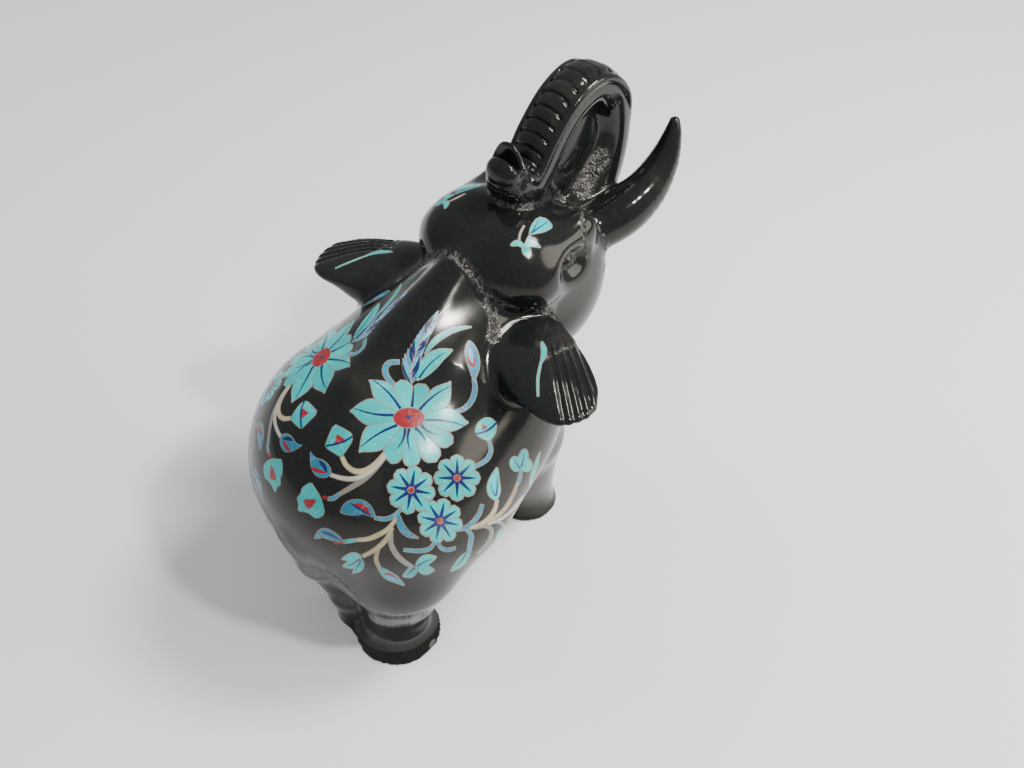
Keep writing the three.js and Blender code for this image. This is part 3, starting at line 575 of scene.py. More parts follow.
def cloud_group():
    """Shared cloudiness of cut stone: a slow cloud, a fine grain and thin hairlines."""
    name = "stone_cloud"
    if name in bpy.data.node_groups:
        return bpy.data.node_groups[name]
    tree = bpy.data.node_groups.new(name, "ShaderNodeTree")
    face = tree.interface
    face.new_socket("Vector", in_out="INPUT", socket_type="NodeSocketVector")
    for label, value in (("Cloud Scale", 20.0), ("Grain Scale", 400.0), ("Hair Scale", 60.0)):
        face.new_socket(label, in_out="INPUT", socket_type="NodeSocketFloat").default_value = value
    for label in ("Cloud", "Grain", "Hair"):
        face.new_socket(label, in_out="OUTPUT", socket_type="NodeSocketFloat")
    n = Nodes(tree)
    start = n.add("NodeGroupInput")
    cloud = n.add("ShaderNodeTexNoise", {
        "Vector": start.outputs["Vector"], "Scale": start.outputs["Cloud Scale"],
        "Detail": 6.0, "Roughness": 0.6, "Distortion": 0.6,
    })
    grain = n.add("ShaderNodeTexNoise", {
        "Vector": start.outputs["Vector"], "Scale": start.outputs["Grain Scale"],
        "Detail": 4.0, "Roughness": 0.65,
    })
    hair = n.add("ShaderNodeTexNoise", {
        "Vector": start.outputs["Vector"], "Scale": start.outputs["Hair Scale"],
        "Detail": 3.0, "Roughness": 0.5, "Distortion": 1.4,
    })
    away = n.add("ShaderNodeMath", {0: hair.outputs["Fac"], 1: 0.5}, operation="SUBTRACT")
    size = n.add("ShaderNodeMath", {0: away.outputs[0]}, operation="ABSOLUTE")
    thin = n.add("ShaderNodeMapRange", {
        "Value": size.outputs[0], "From Min": 0.0, "From Max": 0.012, "To Min": 1.0, "To Max": 0.0
    })
    end = n.add("NodeGroupOutput")
    tree.links.new(cloud.outputs["Fac"], end.inputs["Cloud"])
    tree.links.new(grain.outputs["Fac"], end.inputs["Grain"])
    tree.links.new(thin.outputs["Result"], end.inputs["Hair"])
    return tree


def new_material(name):
    material = bpy.data.materials.new(name)
    material.use_nodes = True
    material.node_tree.nodes.clear()
    n = Nodes(material.node_tree)
    shader = n.add("ShaderNodeBsdfPrincipled")
    end = n.add("ShaderNodeOutputMaterial", {"Surface": shader.outputs["BSDF"]})
    end.target = "ALL"
    return material, n, shader


def ramp(n, value, stops):
    node = n.add("ShaderNodeValToRGB", {"Fac": value})
    while len(node.color_ramp.elements) < len(stops):
        node.color_ramp.elements.new(0.5)
    for element, (at, colour) in zip(node.color_ramp.elements, stops):
        element.position = at
        element.color = (*colour, 1)
    return node.outputs["Color"]


def stone_cloud(n, place, cloud, grain, hair):
    return n.add("ShaderNodeGroup", {
        "Vector": place, "Cloud Scale": cloud, "Grain Scale": grain, "Hair Scale": hair
    }, node_tree=cloud_group())


# Brownish cloud in the black marble, added to its palest tone
WARM = (0.016, 0.012, 0.007)


def ring_lines(n):
    """Thin lines between the rings of the trunk, from the count of the cuts on the mesh. They carry
    the painted shade in the cuts and the bump that sinks them.
    """
    turn = n.add("ShaderNodeAttribute", attribute_name="turn").outputs["Fac"]
    shown = n.add("ShaderNodeAttribute", attribute_name="ringed").outputs["Fac"]
    half = n.add("ShaderNodeMath", {0: turn, 1: 0.5}, operation="ADD")
    part = n.add("ShaderNodeMath", {0: half.outputs[0]}, operation="FRACT")
    away = n.add("ShaderNodeMath", {0: part.outputs[0], 1: 0.5}, operation="SUBTRACT")
    size = n.add("ShaderNodeMath", {0: away.outputs[0]}, operation="ABSOLUTE")
    thin = n.add("ShaderNodeMapRange", {
        "Value": size.outputs[0], "From Min": 0.035, "From Max": 0.11, "To Min": 1.0, "To Max": 0.0
    }, interpolation_type="SMOOTHSTEP")
    return n.add("ShaderNodeMath", {0: thin.outputs["Result"], 1: shown},
                 operation="MULTIPLY").outputs[0]


def marble_material(colours):
    """Polished black marble, cloudy grey-green, with bright bruised stone where it is chiselled and
    painted shade, near black, in the ring cuts of the trunk.
    """
    material, n, shader = new_material("black_marble")
    place = n.add("ShaderNodeTexCoord").outputs["Object"]
    cloud = stone_cloud(n, place, 26.0, 900.0, 24.0)
    dark, mid, pale = colours
    tint = ramp(n, cloud.outputs["Cloud"], [(0.30, dark), (0.55, mid), (0.78, pale)])
    fleck = n.add("ShaderNodeMapRange", {
        "Value": cloud.outputs["Grain"], "From Min": 0.56, "From Max": 0.72
    })
    spots = n.add("ShaderNodeMix", {
        "Factor": fleck.outputs["Result"], "A": tint, "B": (0.019, 0.021, 0.020, 1)
    }, data_type="RGBA")
    chisel = n.add("ShaderNodeAttribute", attribute_name="chisel").outputs["Fac"]
    rough = n.add("ShaderNodeTexVoronoi", {"Vector": place, "Scale": 950.0}, feature="F1")
    nicks = n.add("ShaderNodeTexNoise", {
        "Vector": place, "Scale": 520.0, "Detail": 3.0, "Roughness": 0.7
    })
    bruise = n.add("ShaderNodeMapRange", {
        "Value": nicks.outputs["Fac"], "From Min": 0.45, "From Max": 0.62
    })
    bright = n.add("ShaderNodeMath", {0: bruise.outputs["Result"], 1: chisel},
                   operation="MULTIPLY")
    body = n.add("ShaderNodeMix", {
        "Factor": bright.outputs[0], "A": spots.outputs["Result"], "B": (0.12, 0.115, 0.105, 1)
    }, data_type="RGBA")
    line = ring_lines(n)
    # The ring cuts are painted near black: painted shade in the cuts, over the bump that sinks them
    cut = n.add("ShaderNodeMix", {
        "Factor": line, "A": body.outputs["Result"], "B": (0.002, 0.002, 0.002, 1)
    }, data_type="RGBA")
    n.tree.links.new(cut.outputs["Result"], shader.inputs["Base Color"])
    smear = n.add("ShaderNodeTexNoise", {"Vector": place, "Scale": 45.0, "Detail": 4.0})
    polish = n.add("ShaderNodeMapRange", {
        "Value": smear.outputs["Fac"], "From Min": 0.35, "From Max": 0.7,
        "To Min": 0.08, "To Max": 0.17,
    })
    dull = n.add("ShaderNodeMath", {0: chisel, 1: 0.25, 2: polish.outputs["Result"]},
                 operation="MULTIPLY_ADD")
    n.tree.links.new(dull.outputs[0], shader.inputs["Roughness"])
    wave = n.add("ShaderNodeTexNoise", {"Vector": place, "Scale": 38.0, "Detail": 2.0})
    lie = n.add("ShaderNodeBump", {
        "Strength": 0.35, "Distance": 0.0006, "Height": wave.outputs["Fac"]
    })
    hit = n.add("ShaderNodeMath", {0: rough.outputs["Distance"], 1: chisel},
                operation="MULTIPLY")
    struck = n.add("ShaderNodeBump", {
        "Strength": 0.8, "Distance": 0.0006, "Height": hit.outputs[0],
        "Normal": lie.outputs["Normal"],
    })
    sunk = n.add("ShaderNodeBump", {
        "Strength": 1.0, "Distance": 0.0005, "Height": line, "Normal": struck.outputs["Normal"]
    }, invert=True)
    n.tree.links.new(sunk.outputs["Normal"], shader.inputs["Normal"])
    shader.inputs["IOR"].default_value = 1.48
    shader.inputs["Specular IOR Level"].default_value = 0.36
    shader.inputs["Specular Tint"].default_value = (1, 0.94, 0.84, 1)
    return material


def stone_material(name, low, high, hairline, roughness, hair_scale=55.0, hair_amount=0.22):
    """A polished inlay stone: two cloudy tones, one tone a piece, and thin hairlines."""
    material, n, shader = new_material(name)
    place = n.add("ShaderNodeTexCoord").outputs["Object"]
    cloud = stone_cloud(n, place, 130.0, 900.0, hair_scale)
    tone = n.add("ShaderNodeAttribute", attribute_name="tone").outputs["Fac"]
    mixed = n.add("ShaderNodeMath", {0: cloud.outputs["Cloud"], 1: 1.1, 2: -0.30},
                  operation="MULTIPLY_ADD")
    shade = n.add("ShaderNodeMath", {0: tone, 1: 0.55, 2: mixed.outputs[0]},
                  operation="MULTIPLY_ADD", use_clamp=True)
    base = n.add("ShaderNodeMix", {
        "Factor": shade.outputs[0], "A": (*low, 1), "B": (*high, 1)
    }, data_type="RGBA")
    hair = n.add("ShaderNodeMath", {0: cloud.outputs["Hair"], 1: hair_amount},
                 operation="MULTIPLY")
    lined = n.add("ShaderNodeMix", {
        "Factor": hair.outputs[0], "A": base.outputs["Result"], "B": (*hairline, 1)
    }, data_type="RGBA")
    n.tree.links.new(lined.outputs["Result"], shader.inputs["Base Color"])
    gloss = n.add("ShaderNodeMapRange", {
        "Value": cloud.outputs["Grain"], "From Min": 0.3, "From Max": 0.7,
        "To Min": roughness - 0.05, "To Max": roughness + 0.08,
    })
    n.tree.links.new(gloss.outputs["Result"], shader.inputs["Roughness"])
    pits = n.add("ShaderNodeBump", {
        "Strength": 0.25, "Distance": 0.0002, "Height": cloud.outputs["Grain"]
    })
    n.tree.links.new(pits.outputs["Normal"], shader.inputs["Normal"])
    return material


# Where the chisel left the stone rough: line on the sheet, half width and depth of the cut
CHISELLED = [
    ([(458, 258), (469, 269), (481, 285), (490, 303), (495, 322), (493, 338)], 1.7, 0.9),
    ([(500, 303), (520, 309), (545, 311), (557, 319)], 1.0, 0.8),
    ([(545, 358), (560, 350), (578, 345)], 0.8, 0.5),
    ([(581, 208), (584, 232), (587, 258)], 0.7, 0.7),
    ([(596, 216), (601, 232), (607, 245)], 0.7, 0.7),
    ([(601, 158), (592, 170), (582, 188)], 3.6, 0.0),
    ([(553, 182), (561, 198), (572, 208)], 1.1, 0.5),
    ([(497, 201), (512, 205), (531, 207)], 1.1, 0.3),
    ([(328, 571), (345, 585), (358, 600), (357, 625)], 0.9, 0.6),
    ([(605, 246), (606, 258), (604, 270)], 0.7, 0.7),
]


def chisel_marks(points, facing):
    """Sinks the chiselled lines into the skin. Gives the moved points and the rough share."""
    rough = np.zeros(len(points))
    sunk = np.zeros(len(points))
    for line, wide, deep in CHISELLED:
        spots = spline([(a, b, 0) for a, b in line], 24)[:, :2]
        for side in (-1, 1):
            run, _ = lay(spots, side)
            low, high = run.min(0) - 4 * wide - 3, run.max(0) + 4 * wide + 3
            near = np.nonzero(((points > low) & (points < high)).all(1))[0]
            if not len(near):
                continue
            gap = np.linalg.norm(points[near][:, None] - run[None], axis=2).min(1)
            rough[near] = np.maximum(rough[near], 1 - smooth(wide * 0.7, wide * 1.5, gap))
            cut = deep * np.exp(-((gap / (wide * 0.7)) ** 2))
            sunk[near] = np.maximum(sunk[near], cut)
    return points - facing * sunk[:, None], rough


class CarvingSizes(bpy.types.PropertyGroup):
    """How finely the block is carved."""

    fine: bpy.props.FloatProperty(
        name="Fine Step", description="Size of a facet where the carving is fine",
        default=0.0009, min=0.0004, max=0.005, unit="LENGTH", precision=4)
    coarse: bpy.props.FloatProperty(
        name="Coarse Step", description="Size of a facet on the plain body",
        default=0.00165, min=0.0006, max=0.01, unit="LENGTH", precision=4)


class InlaySizes(bpy.types.PropertyGroup):
    """How the stones lie in the skin."""

    lift: bpy.props.FloatProperty(
        name="Lift", description="How far a stone stands over the polished skin",
        default=0.00004, min=0.0, max=0.001, unit="LENGTH", precision=5)
    sink: bpy.props.FloatProperty(
        name="Sink", description="How deep a stone reaches into the marble",
        default=0.0005, min=0.0001, max=0.003, unit="LENGTH", precision=5)
    joint: bpy.props.FloatProperty(
        name="Joint", description="Width of the mastic line round a stone, on the sheet",
        default=0.8, min=0.0, max=3.0)
    petals: bpy.props.IntProperty(
        name="Small Petals", description="Petals of a small flower", default=8, min=3, max=16)


class StoneColours(bpy.types.PropertyGroup):
    """Tones of the marble and the inlaid stones."""

    marble: bpy.props.FloatVectorProperty(
        name="Marble", description="Ground tone of the black marble", subtype="COLOR", size=3,
        default=(0.006, 0.007, 0.007), min=0, max=1)
    turquoise: bpy.props.FloatVectorProperty(
        name="Turquoise", description="Tone of the petals", subtype="COLOR", size=3,
        default=(0.004, 0.43, 0.42), min=0, max=1)
    coral: bpy.props.FloatVectorProperty(
        name="Coral", description="Tone of the flower hearts", subtype="COLOR", size=3,
        default=(0.24, 0.006, 0.010), min=0, max=1)
    lapis: bpy.props.FloatVectorProperty(
        name="Blue", description="Tone of the blue leaves", subtype="COLOR", size=3,
        default=(0.016, 0.16, 0.25), min=0, max=1)


class StageSettings(bpy.types.PropertyGroup):
    """Floor, light and view."""

    floor: bpy.props.FloatVectorProperty(
        name="Floor", description="Colour of the floor", subtype="COLOR", size=3,
        default=(0.90, 0.90, 0.90), min=0, max=1)
    lens: bpy.props.FloatProperty(
        name="Lens", description="Focal length for a 36 mm wide sensor, in millimetres",
        default=39.01, min=10, max=300)


# Grid round the block: its reach along x, y and z, and the spans where it is close together
GRID = [
    ((-84, 150), [(10, 48), (54, 128)]),
    ((-84, 84), [(-76, -46), (-12, 12), (46, 76)]),
    ((-3, 214), [(-3, 8), (120, 140), (166, 208)]),
]
# Skin that is rougher than this keeps the shading of its facets
ROUGH = 0.02
# The step that evens out the short cones of a tusk in its shading
TUSK_STEP = 1.6
# How far from the trunk itself its ring lines fade out
RING_FADE = (0.6, 1.4)


class CarveBlock(bpy.types.Operator):
    """Carve the whole elephant from one block of marble"""

    bl_idname = "elephant.carve_block"
    bl_label = "Carve the Block"

    def execute(self, context):
        sizes = context.scene.elephant_carving
        colours = context.scene.elephant_colours
        fine, coarse = sizes.fine / MM, sizes.coarse / MM
        lines = [grid_lines(*reach, spans, fine, coarse) for reach, spans in GRID]
        points, faces = skin(standing, *lines)
        points = settle(standing, points)
        facing = slope(standing, points)
        tusks = outside(points[:, 0], np.abs(points[:, 1]), points[:, 2], TUSK_BOX) <= 0
        facing[tusks] = slope(standing, points[tusks], TUSK_STEP)
        facing /= np.maximum(np.linalg.norm(facing, axis=1), 1e-6)[:, None]
        points, rough = chisel_marks(points, facing)
        low, high = (np.array(corner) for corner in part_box("marble_elephant"))
        placed = np.clip(to_frame(points), low, high)
        ground = tuple(colours.marble)
        tones = (ground, tuple(1.4 * c for c in ground),
                 tuple(2.0 * c + warm for c, warm in zip(ground, WARM)))
        piece = new_piece("carved_marble", placed, faces, marble_material(tones))
        # The polished skin shades as the true form, the chiselled one as its facets
        ways = np.empty(3 * len(points), np.float32)
        piece.data.vertex_normals.foreach_get("vector", ways)
        ways = np.where(rough[:, None] > ROUGH, ways.reshape(-1, 3), facing)
        piece.data.normals_split_custom_set_from_vertices(ways.tolist())
        turn, shown = np.zeros(len(points)), np.zeros(len(points))
        close = outside(*points.T, TRUNK_BOX) <= 0
        turn[close], shown[close] = trunk(*points[close].T, marks=True)
        shown[close] *= 1 - smooth(*RING_FADE, np.abs(trunk(*points[close].T)))
        for label, values in (("chisel", rough), ("turn", turn), ("ringed", shown)):
            mask = piece.data.attributes.new(label, "FLOAT", "POINT")
            mask.data.foreach_set("value", values.astype(np.float32))
        dress(piece, "black_marble", "marble_elephant")
        return {"FINISHED"}


# Edges of a plate that turn by more degrees than this are sharp
PLATE_EDGE = 40


class Tray:
    """Collects closed plates drawn on the sheet, each with its height over the skin."""

    def __init__(self):
        self.spots, self.heights, self.tones, self.faces = [], [], [], []

    def plate(self, grid, lift, sink, closed=False, tone=0.0):
        """A plate over a grid of sheet spots, rows by columns."""
        grid = np.asarray(grid, float)
        rows, columns = grid.shape[:2]
        base = len(self.spots)
        flat = grid.reshape(-1, 2)
        for level in (lift, -sink):
            self.spots.extend(flat.tolist())
            self.heights.extend([level] * len(flat))
            self.tones.extend([tone] * len(flat))
        step = rows * columns
        wide = columns if closed else columns - 1

        def at(level, r, c):
            return base + level * step + r * columns + c % columns

        for r in range(rows - 1):
            for c in range(wide):
                ring = [at(0, r, c), at(0, r, c + 1), at(0, r + 1, c + 1), at(0, r + 1, c)]
                self.faces.append(ring)
                self.faces.append([v + step for v in reversed(ring)])
        for c in range(wide):
            self.faces.append([at(0, 0, c + 1), at(0, 0, c), at(1, 0, c), at(1, 0, c + 1)])
            r = rows - 1
            self.faces.append([at(0, r, c), at(0, r, c + 1), at(1, r, c + 1), at(1, r, c)])
        if not closed:
            for r in range(rows - 1):
                c = columns - 1
                self.faces.append([at(0, r, 0), at(0, r + 1, 0), at(1, r + 1, 0), at(1, r, 0)])
                self.faces.append([at(0, r + 1, c), at(0, r, c), at(1, r, c), at(1, r + 1, c)])

    def mesh(self, mesh, middle, turn, tone):
        """Adds a flat mesh whose z is already a height over the skin."""
        base = len(self.spots)
        for v in mesh.vertices:
            across = v.co.x * math.cos(turn) - v.co.y * math.sin(turn)
            down = v.co.x * math.sin(turn) + v.co.y * math.cos(turn)
            self.spots.append([middle[0] + across, middle[1] + down])
            self.heights.append(v.co.z)
            self.tones.append(tone)
        for polygon in mesh.polygons:
            self.faces.append([base + v for v in polygon.vertices])

    def lay_down(self, name, side, material):
        """Makes one piece of all the plates, laid onto the skin of one side."""
        spots = np.array(self.spots)
        once, back = np.unique(np.round(spots, 4), axis=0, return_inverse=True)
        place, facing = lay(once, side)
        back = back.reshape(-1)
        points = place[back] + facing[back] * np.array(self.heights)[:, None]
        piece = new_piece(name, to_frame(points), self.faces, material, sharp=PLATE_EDGE)
        turn_out(piece)
        tone = piece.data.attributes.new("tone", "FLOAT", "POINT")
        tone.data.foreach_set("value", np.array(self.tones, np.float32))
        return piece


def turn_out(piece):
    """Turns every closed plate of a piece so that it faces out."""
    flat = bmesh.new()
    flat.from_mesh(piece.data)
    bmesh.ops.recalc_face_normals(flat, faces=flat.faces)
    flat.to_mesh(piece.data)
    flat.free()


# Half width of the narrowest end of a stone, on the sheet
NARROWEST = 0.12


def blade(line, wide, shape, rows=12, columns=4, grow=0.0):
    """A grid of spots along a bent line whose half width follows a shape from 0 to 1."""
    middle = spline([(a, b, 0) for a, b in line], rows)[:, :2]
    along = np.gradient(middle, axis=0)
    along /= np.linalg.norm(along, axis=1)[:, None]
    across = np.stack([-along[:, 1], along[:, 0]], axis=1)
    share = np.linspace(0, 1, rows + 1)
    half = np.maximum(wide / 2 * shape(share), NARROWEST) + grow
    if grow:
        middle = middle + along * (np.linspace(-1, 1, rows + 1) ** 5 * grow)[:, None]
    steps = np.linspace(-1, 1, columns + 1)
    return middle[:, None] + across[:, None] * (half[:, None] * steps)[..., None]


def leaf_shape(t):
    """Half width of a leaf along its length, from 0 to 1, and so for the other shapes."""
    return np.sin(np.pi * np.clip(t, 0, 1) ** 0.85) ** 0.8


def stem_shape(t):
    return 0.72 + 0.28 * np.sin(np.pi * t)


def vein_shape(t):
    return 1.0 - 0.75 * t


def drop_shape(t):
    return np.sqrt(np.clip(1 - (2 * t**0.8 - 1) ** 2, 0, 1))


SHAPES = {"leaf": leaf_shape, "stem": stem_shape, "vein": vein_shape, "drop": drop_shape}


def patch(outline, grow=0.0, rings=4):
    """A grid of spots from a hub out to a closed outline."""
    line = np.array(outline, float)
    if len(line) > 4:
        # Longer outlines have their corners eased
        following = np.roll(line, -1, axis=0)
        line = np.stack([0.8 * line + 0.2 * following, 0.25 * line + 0.75 * following], axis=1)
        line = line.reshape(-1, 2)
    hub = line.mean(0)
    closed = np.vstack([line, line[:1]])
    halfway = line + (closed[1:] - line) * 0.5
    run = np.stack([line, halfway], axis=1).reshape(-1, 2)
    out = run - hub
    size = np.linalg.norm(out, axis=1)[:, None]
    run = run + out / size * grow
    shares = np.linspace(0.02, 1, rings + 1)
    return hub + (run - hub)[None] * shares[:, None, None]


# The large flower: middle, half sizes of its heart, and its petals as direction, reach, kind
FLOWER = (409, 418)
HEART = (15.5, 10)
PETALS = [
    (38, 55, "point"),
    (64, 37, "round"),
    (102, 38.5, "round"),
    (133, 54.5, "point"),
    (170, 59, "point"),
    (211, 60, "point"),
    (249, 48.5, "round"),
    (272, 49, "round"),
    (302, 51, "round"),
    (330, 50, "round"),
    (352, 59, "point"),
]
ROSETTES = [((411, 490), 24.0, 10), ((457, 478), 23.0, 0), ((440, 521), 22.5, 12)]

# Petals that share one vein, as the quill of the plume ends between them
UNDER_PLUME = (1, 2)
SHARED_VEIN = [(3, -11), (4, -20), (5, -31)]
HEART_VEIN = [(-14, -2), (-6, -4.5), (3, -4), (14, 1)]
HEART_BEAD = [(-4, -2.5), (3, -2), (0, 2.5)]
VEIN = 2.9
# Share of the reach that the vein of a petal runs out to
VEIN_REACH = {"point": 0.94, "round": 0.66}
VEIN_BEND = 2.2
# Mastic left between two petals, on each side
GAP = 0.45

# Shapes on the sheet: stone, kind, width, line
STROKES = [
    # the plume and leaf above the flower, and the curl beside them
    ("turquoise", "leaf", 6, [(425, 354), (434, 342), (448, 332), (460, 328), (471, 327)]),
    ("turquoise", "leaf", 16, [(417, 380), (427, 366), (438, 356), (452, 350)]),
    ("navy", "vein", 2, [(419, 378), (428, 366), (438, 357), (446, 352)]),
    ("lapis", "stem", 5, [(394, 385), (387, 377), (385, 369), (389, 363), (399, 362)]),
    # the blue bud on the shoulder
    ("lapis", "leaf", 13, [(469, 341), (471, 352), (474, 366), (474, 380)]),
    ("coral", "leaf", 8, [(469, 351), (471, 360), (474, 368)]),
    ("sky", "leaf", 4.5, [(469, 347), (471, 356), (473, 364)]),
    ("lapis", "stem", 4.4, [(474, 379), (475, 389), (472, 400), (465, 408), (456, 412)]),
    # stems behind the flower
    ("straw", "stem", 4.4, [(342, 457), (346, 465), (354, 471), (364, 471), (374, 465), (384, 454)]),
    ("pearl", "stem", 4, [(331, 475), (341, 478), (353, 479), (365, 475), (377, 466), (386, 455)]),
    ("grey", "stem", 4.2, [(338, 495), (350, 488), (363, 480), (374, 470), (384, 458)]),
    ("lapis", "stem", 3.6, [(328, 499), (334, 498), (339, 494)]),
    # bud 1, bud 2
    ("navy", "stem", 2.2, [(326, 446), (336, 444), (345, 441), (353, 436)]),
    ("navy", "leaf", 4, [(319, 460), (324, 466), (327, 473)]),
    ("coral", "leaf", 4, [(311, 468), (319, 471), (327, 473)]),
    # leaves and stems of the lower rump
    ("lapis", "leaf", 15, [(341, 512), (351, 508), (364, 508), (375, 517)]),
    ("coral", "leaf", 6, [(352, 505), (362, 507), (371, 515)]),
    ("navy", "leaf", 2.4, [(350, 503), (360, 509), (371, 516)]),
    ("navy", "leaf", 2.4, [(352, 517), (362, 516), (371, 517)]),
    ("lapis", "stem", 3.6, [(375, 518), (385, 519), (394, 516), (401, 509)]),
    ("lapis", "leaf", 9, [(315, 538), (323, 533), (334, 537), (343, 542)]),
    ("navy", "leaf", 2.6, [(321, 531), (331, 535), (342, 541)]),
    ("coral", "leaf", 2, [(332, 543), (340, 543), (347, 541)]),
    ("turquoise", "stem", 3.4, [(343, 542), (350, 541), (357, 540)]),
    ("straw", "stem", 3.8, [(357, 540), (368, 539), (378, 535), (388, 529), (396, 519)]),
    ("straw", "stem", 4, [(363, 556), (373, 551), (381, 545), (388, 537), (392, 528)]),
    ("straw", "stem", 3.4, [(378, 550), (376, 559), (380, 570)]),
    ("grey", "stem", 4.2, [(391, 533), (391, 544), (396, 554), (403, 561), (412, 567)]),
    ("lapis", "leaf", 6.5, [(398, 514), (401, 526), (408, 534), (418, 538)]),
    ("turquoise", "leaf", 8, [(361, 557), (352, 557), (342, 559)]),
    ("turquoise", "leaf", 8.5, [(361, 559), (352, 564), (343, 566)]),
    ("turquoise", "leaf", 8, [(362, 560), (359, 567), (353, 573)]),
    ("navy", "vein", 1.7, [(360, 559), (352, 564), (347, 566)]),
    ("navy", "vein", 1.7, [(361, 560), (358, 566), (355, 571)]),
    ("turquoise", "leaf", 8, [(379, 568), (386, 574), (395, 579), (404, 585)]),
    ("coral", "leaf", 4.6, [(384, 573), (391, 576), (399, 581)]),
    ("sky", "leaf", 3, [(386, 575), (392, 578), (399, 582)]),
    ("turquoise", "leaf", 10, [(416, 566), (426, 560), (436, 557)]),
    ("turquoise", "leaf", 9, [(417, 568), (426, 570), (434, 570)]),
    ("turquoise", "leaf", 9, [(417, 568), (410, 573), (403, 576)]),
    ("navy", "vein", 1.7, [(417, 566), (424, 562), (431, 559)]),
    ("navy", "vein", 1.7, [(415, 568), (411, 571), (407, 575)]),
    ("lapis", "stem", 3.2, [(404, 550), (418, 551), (429, 549), (435, 542)]),
    ("lapis", "stem", 3.2, [(437, 541), (441, 548), (448, 550), (455, 548)]),
    # stems of the belly side
    ("lapis", "stem", 3.8, [(456, 530), (465, 528), (473, 522), (479, 514), (482, 505)]),
    ("lapis", "stem", 3.8, [(466, 529), (471, 535), (470, 545), (468, 556)]),
    ("turquoise", "leaf", 8, [(468, 553), (461, 562), (451, 571)]),
    ("navy", "vein", 1.6, [(466, 554), (461, 561), (455, 567)]),
    ("straw", "stem", 3.4, [(470, 528), (481, 524), (490, 517), (495, 509), (497, 500)]),
    ("straw", "stem", 3, [(482, 524), (493, 519), (503, 511), (511, 499), (518, 482)]),
    ("pearl", "stem", 2.4, [(488, 524), (499, 520), (510, 512), (517, 504), (523, 496)]),
    ("grey", "stem", 2.4, [(494, 522), (501, 523), (504, 528), (502, 534)]),
    ("grey", "stem", 3, [(474, 528), (485, 526), (491, 529), (491, 536), (486, 545), (477, 554)]),
    ("turquoise", "leaf", 13, [(496, 500), (494, 492), (494, 482), (497, 468)]),
    ("navy", "vein", 1.8, [(496, 496), (497, 486), (497, 476)]),
    ("navy", "vein", 1.4, [(495, 496), (492, 490), (491, 483)]),
    ("turquoise", "drop", 12, [(520, 470), (516, 464), (513, 457)]),
    ("turquoise", "drop", 10, [(521, 468), (523, 459), (525, 449)]),
    ("turquoise", "drop", 12, [(522, 470), (526, 465), (530, 460)]),
    ("navy", "vein", 1.7, [(520, 469), (517, 464), (514, 459)]),
    ("navy", "vein", 1.7, [(521, 467), (523, 460), (524, 454)]),
    ("lapis", "stem", 3, [(521, 470), (520, 477), (518, 484)]),
    ("turquoise", "leaf", 4, [(529, 489), (532, 477), (536, 464), (540, 452)]),
    ("turquoise", "leaf", 5, [(495, 542), (499, 535), (504, 529), (509, 524)]),
    ("lapis", "stem", 3.6, [(489, 441), (491, 450), (488, 458), (482, 463), (474, 467)]),
    ("navy", "stem", 2.2, [(475, 434), (484, 432), (491, 428), (497, 422)]),
    # the sprig on the brow
    ("turquoise", "leaf", 5, [(511, 245), (518, 243), (525, 248)]),
    ("turquoise", "leaf", 6.5, [(524, 248), (531, 243), (540, 247)]),
    ("turquoise", "leaf", 8, [(523, 246), (527, 252), (529, 258)]),
    ("turquoise", "stem", 3, [(530, 236), (528, 241), (525, 247)]),
    ("pearl", "stem", 1.4, [(524, 226), (520, 234), (519, 241)]),
    ("navy", "vein", 1.8, [(531, 233), (540, 227), (549, 221)]),
    ("navy", "vein", 1.2, [(533, 231), (536, 225), (539, 219)]),
    # the sprig on the ear
    ("turquoise", "leaf", 5, [(542, 342), (544, 352), (541, 364)]),
    ("turquoise", "stem", 1.8, [(541, 362), (538, 378), (538, 396)]),
]
PATCHES = [
    ("turquoise", [(334, 424), (344, 429), (352, 434), (352, 441), (347, 449), (341, 457),
                   (333, 452), (325, 447), (328, 438)]),
    ("coral", [(337, 434), (346, 440), (334, 445)]),
    ("lapis", [(310, 450), (315, 458), (324, 461), (330, 467), (331, 474), (325, 478),
               (316, 476), (311, 467)]),
    ("turquoise", [(484, 418), (491, 418), (497, 424), (495, 434), (489, 441), (481, 438),
                   (475, 433), (477, 424)]),
    ("coral", [(482, 424), (488, 427), (482, 431)]),
    ("turquoise", [(311, 482), (315, 489), (319, 495), (322, 502), (325, 514), (316, 519),
                   (308, 512), (298, 511), (299, 504), (297, 498), (301, 494), (302, 488)]),
    ("coral", [(302, 499), (317, 499), (314, 505), (309, 510), (305, 505)]),
    ("coral", [(321, 497), (325, 495), (329, 498), (325, 500)]),
    ("turquoise", [(529, 235), (531, 226), (538, 217), (547, 219), (553, 227), (546, 231),
                   (538, 233)]),
]
STONES = ("mastic", "turquoise", "lapis", "sky", "coral", "navy", "pearl", "straw", "grey")
# Height of each stone over the skin, in lifts beyond the first one. Up to the bedded level a
# stone lies in the marble, with mastic round it, and above it in another stone
LEVELS = {"mastic": 0.0, "turquoise": 1, "lapis": 1, "pearl": 1.4, "straw": 1, "grey": 1,
          "coral": 1.5, "sky": 2, "navy": 2.2}
BEDDED = 1.4
# Height of the mastic, in lifts
MASTIC_HEIGHT = 0.8


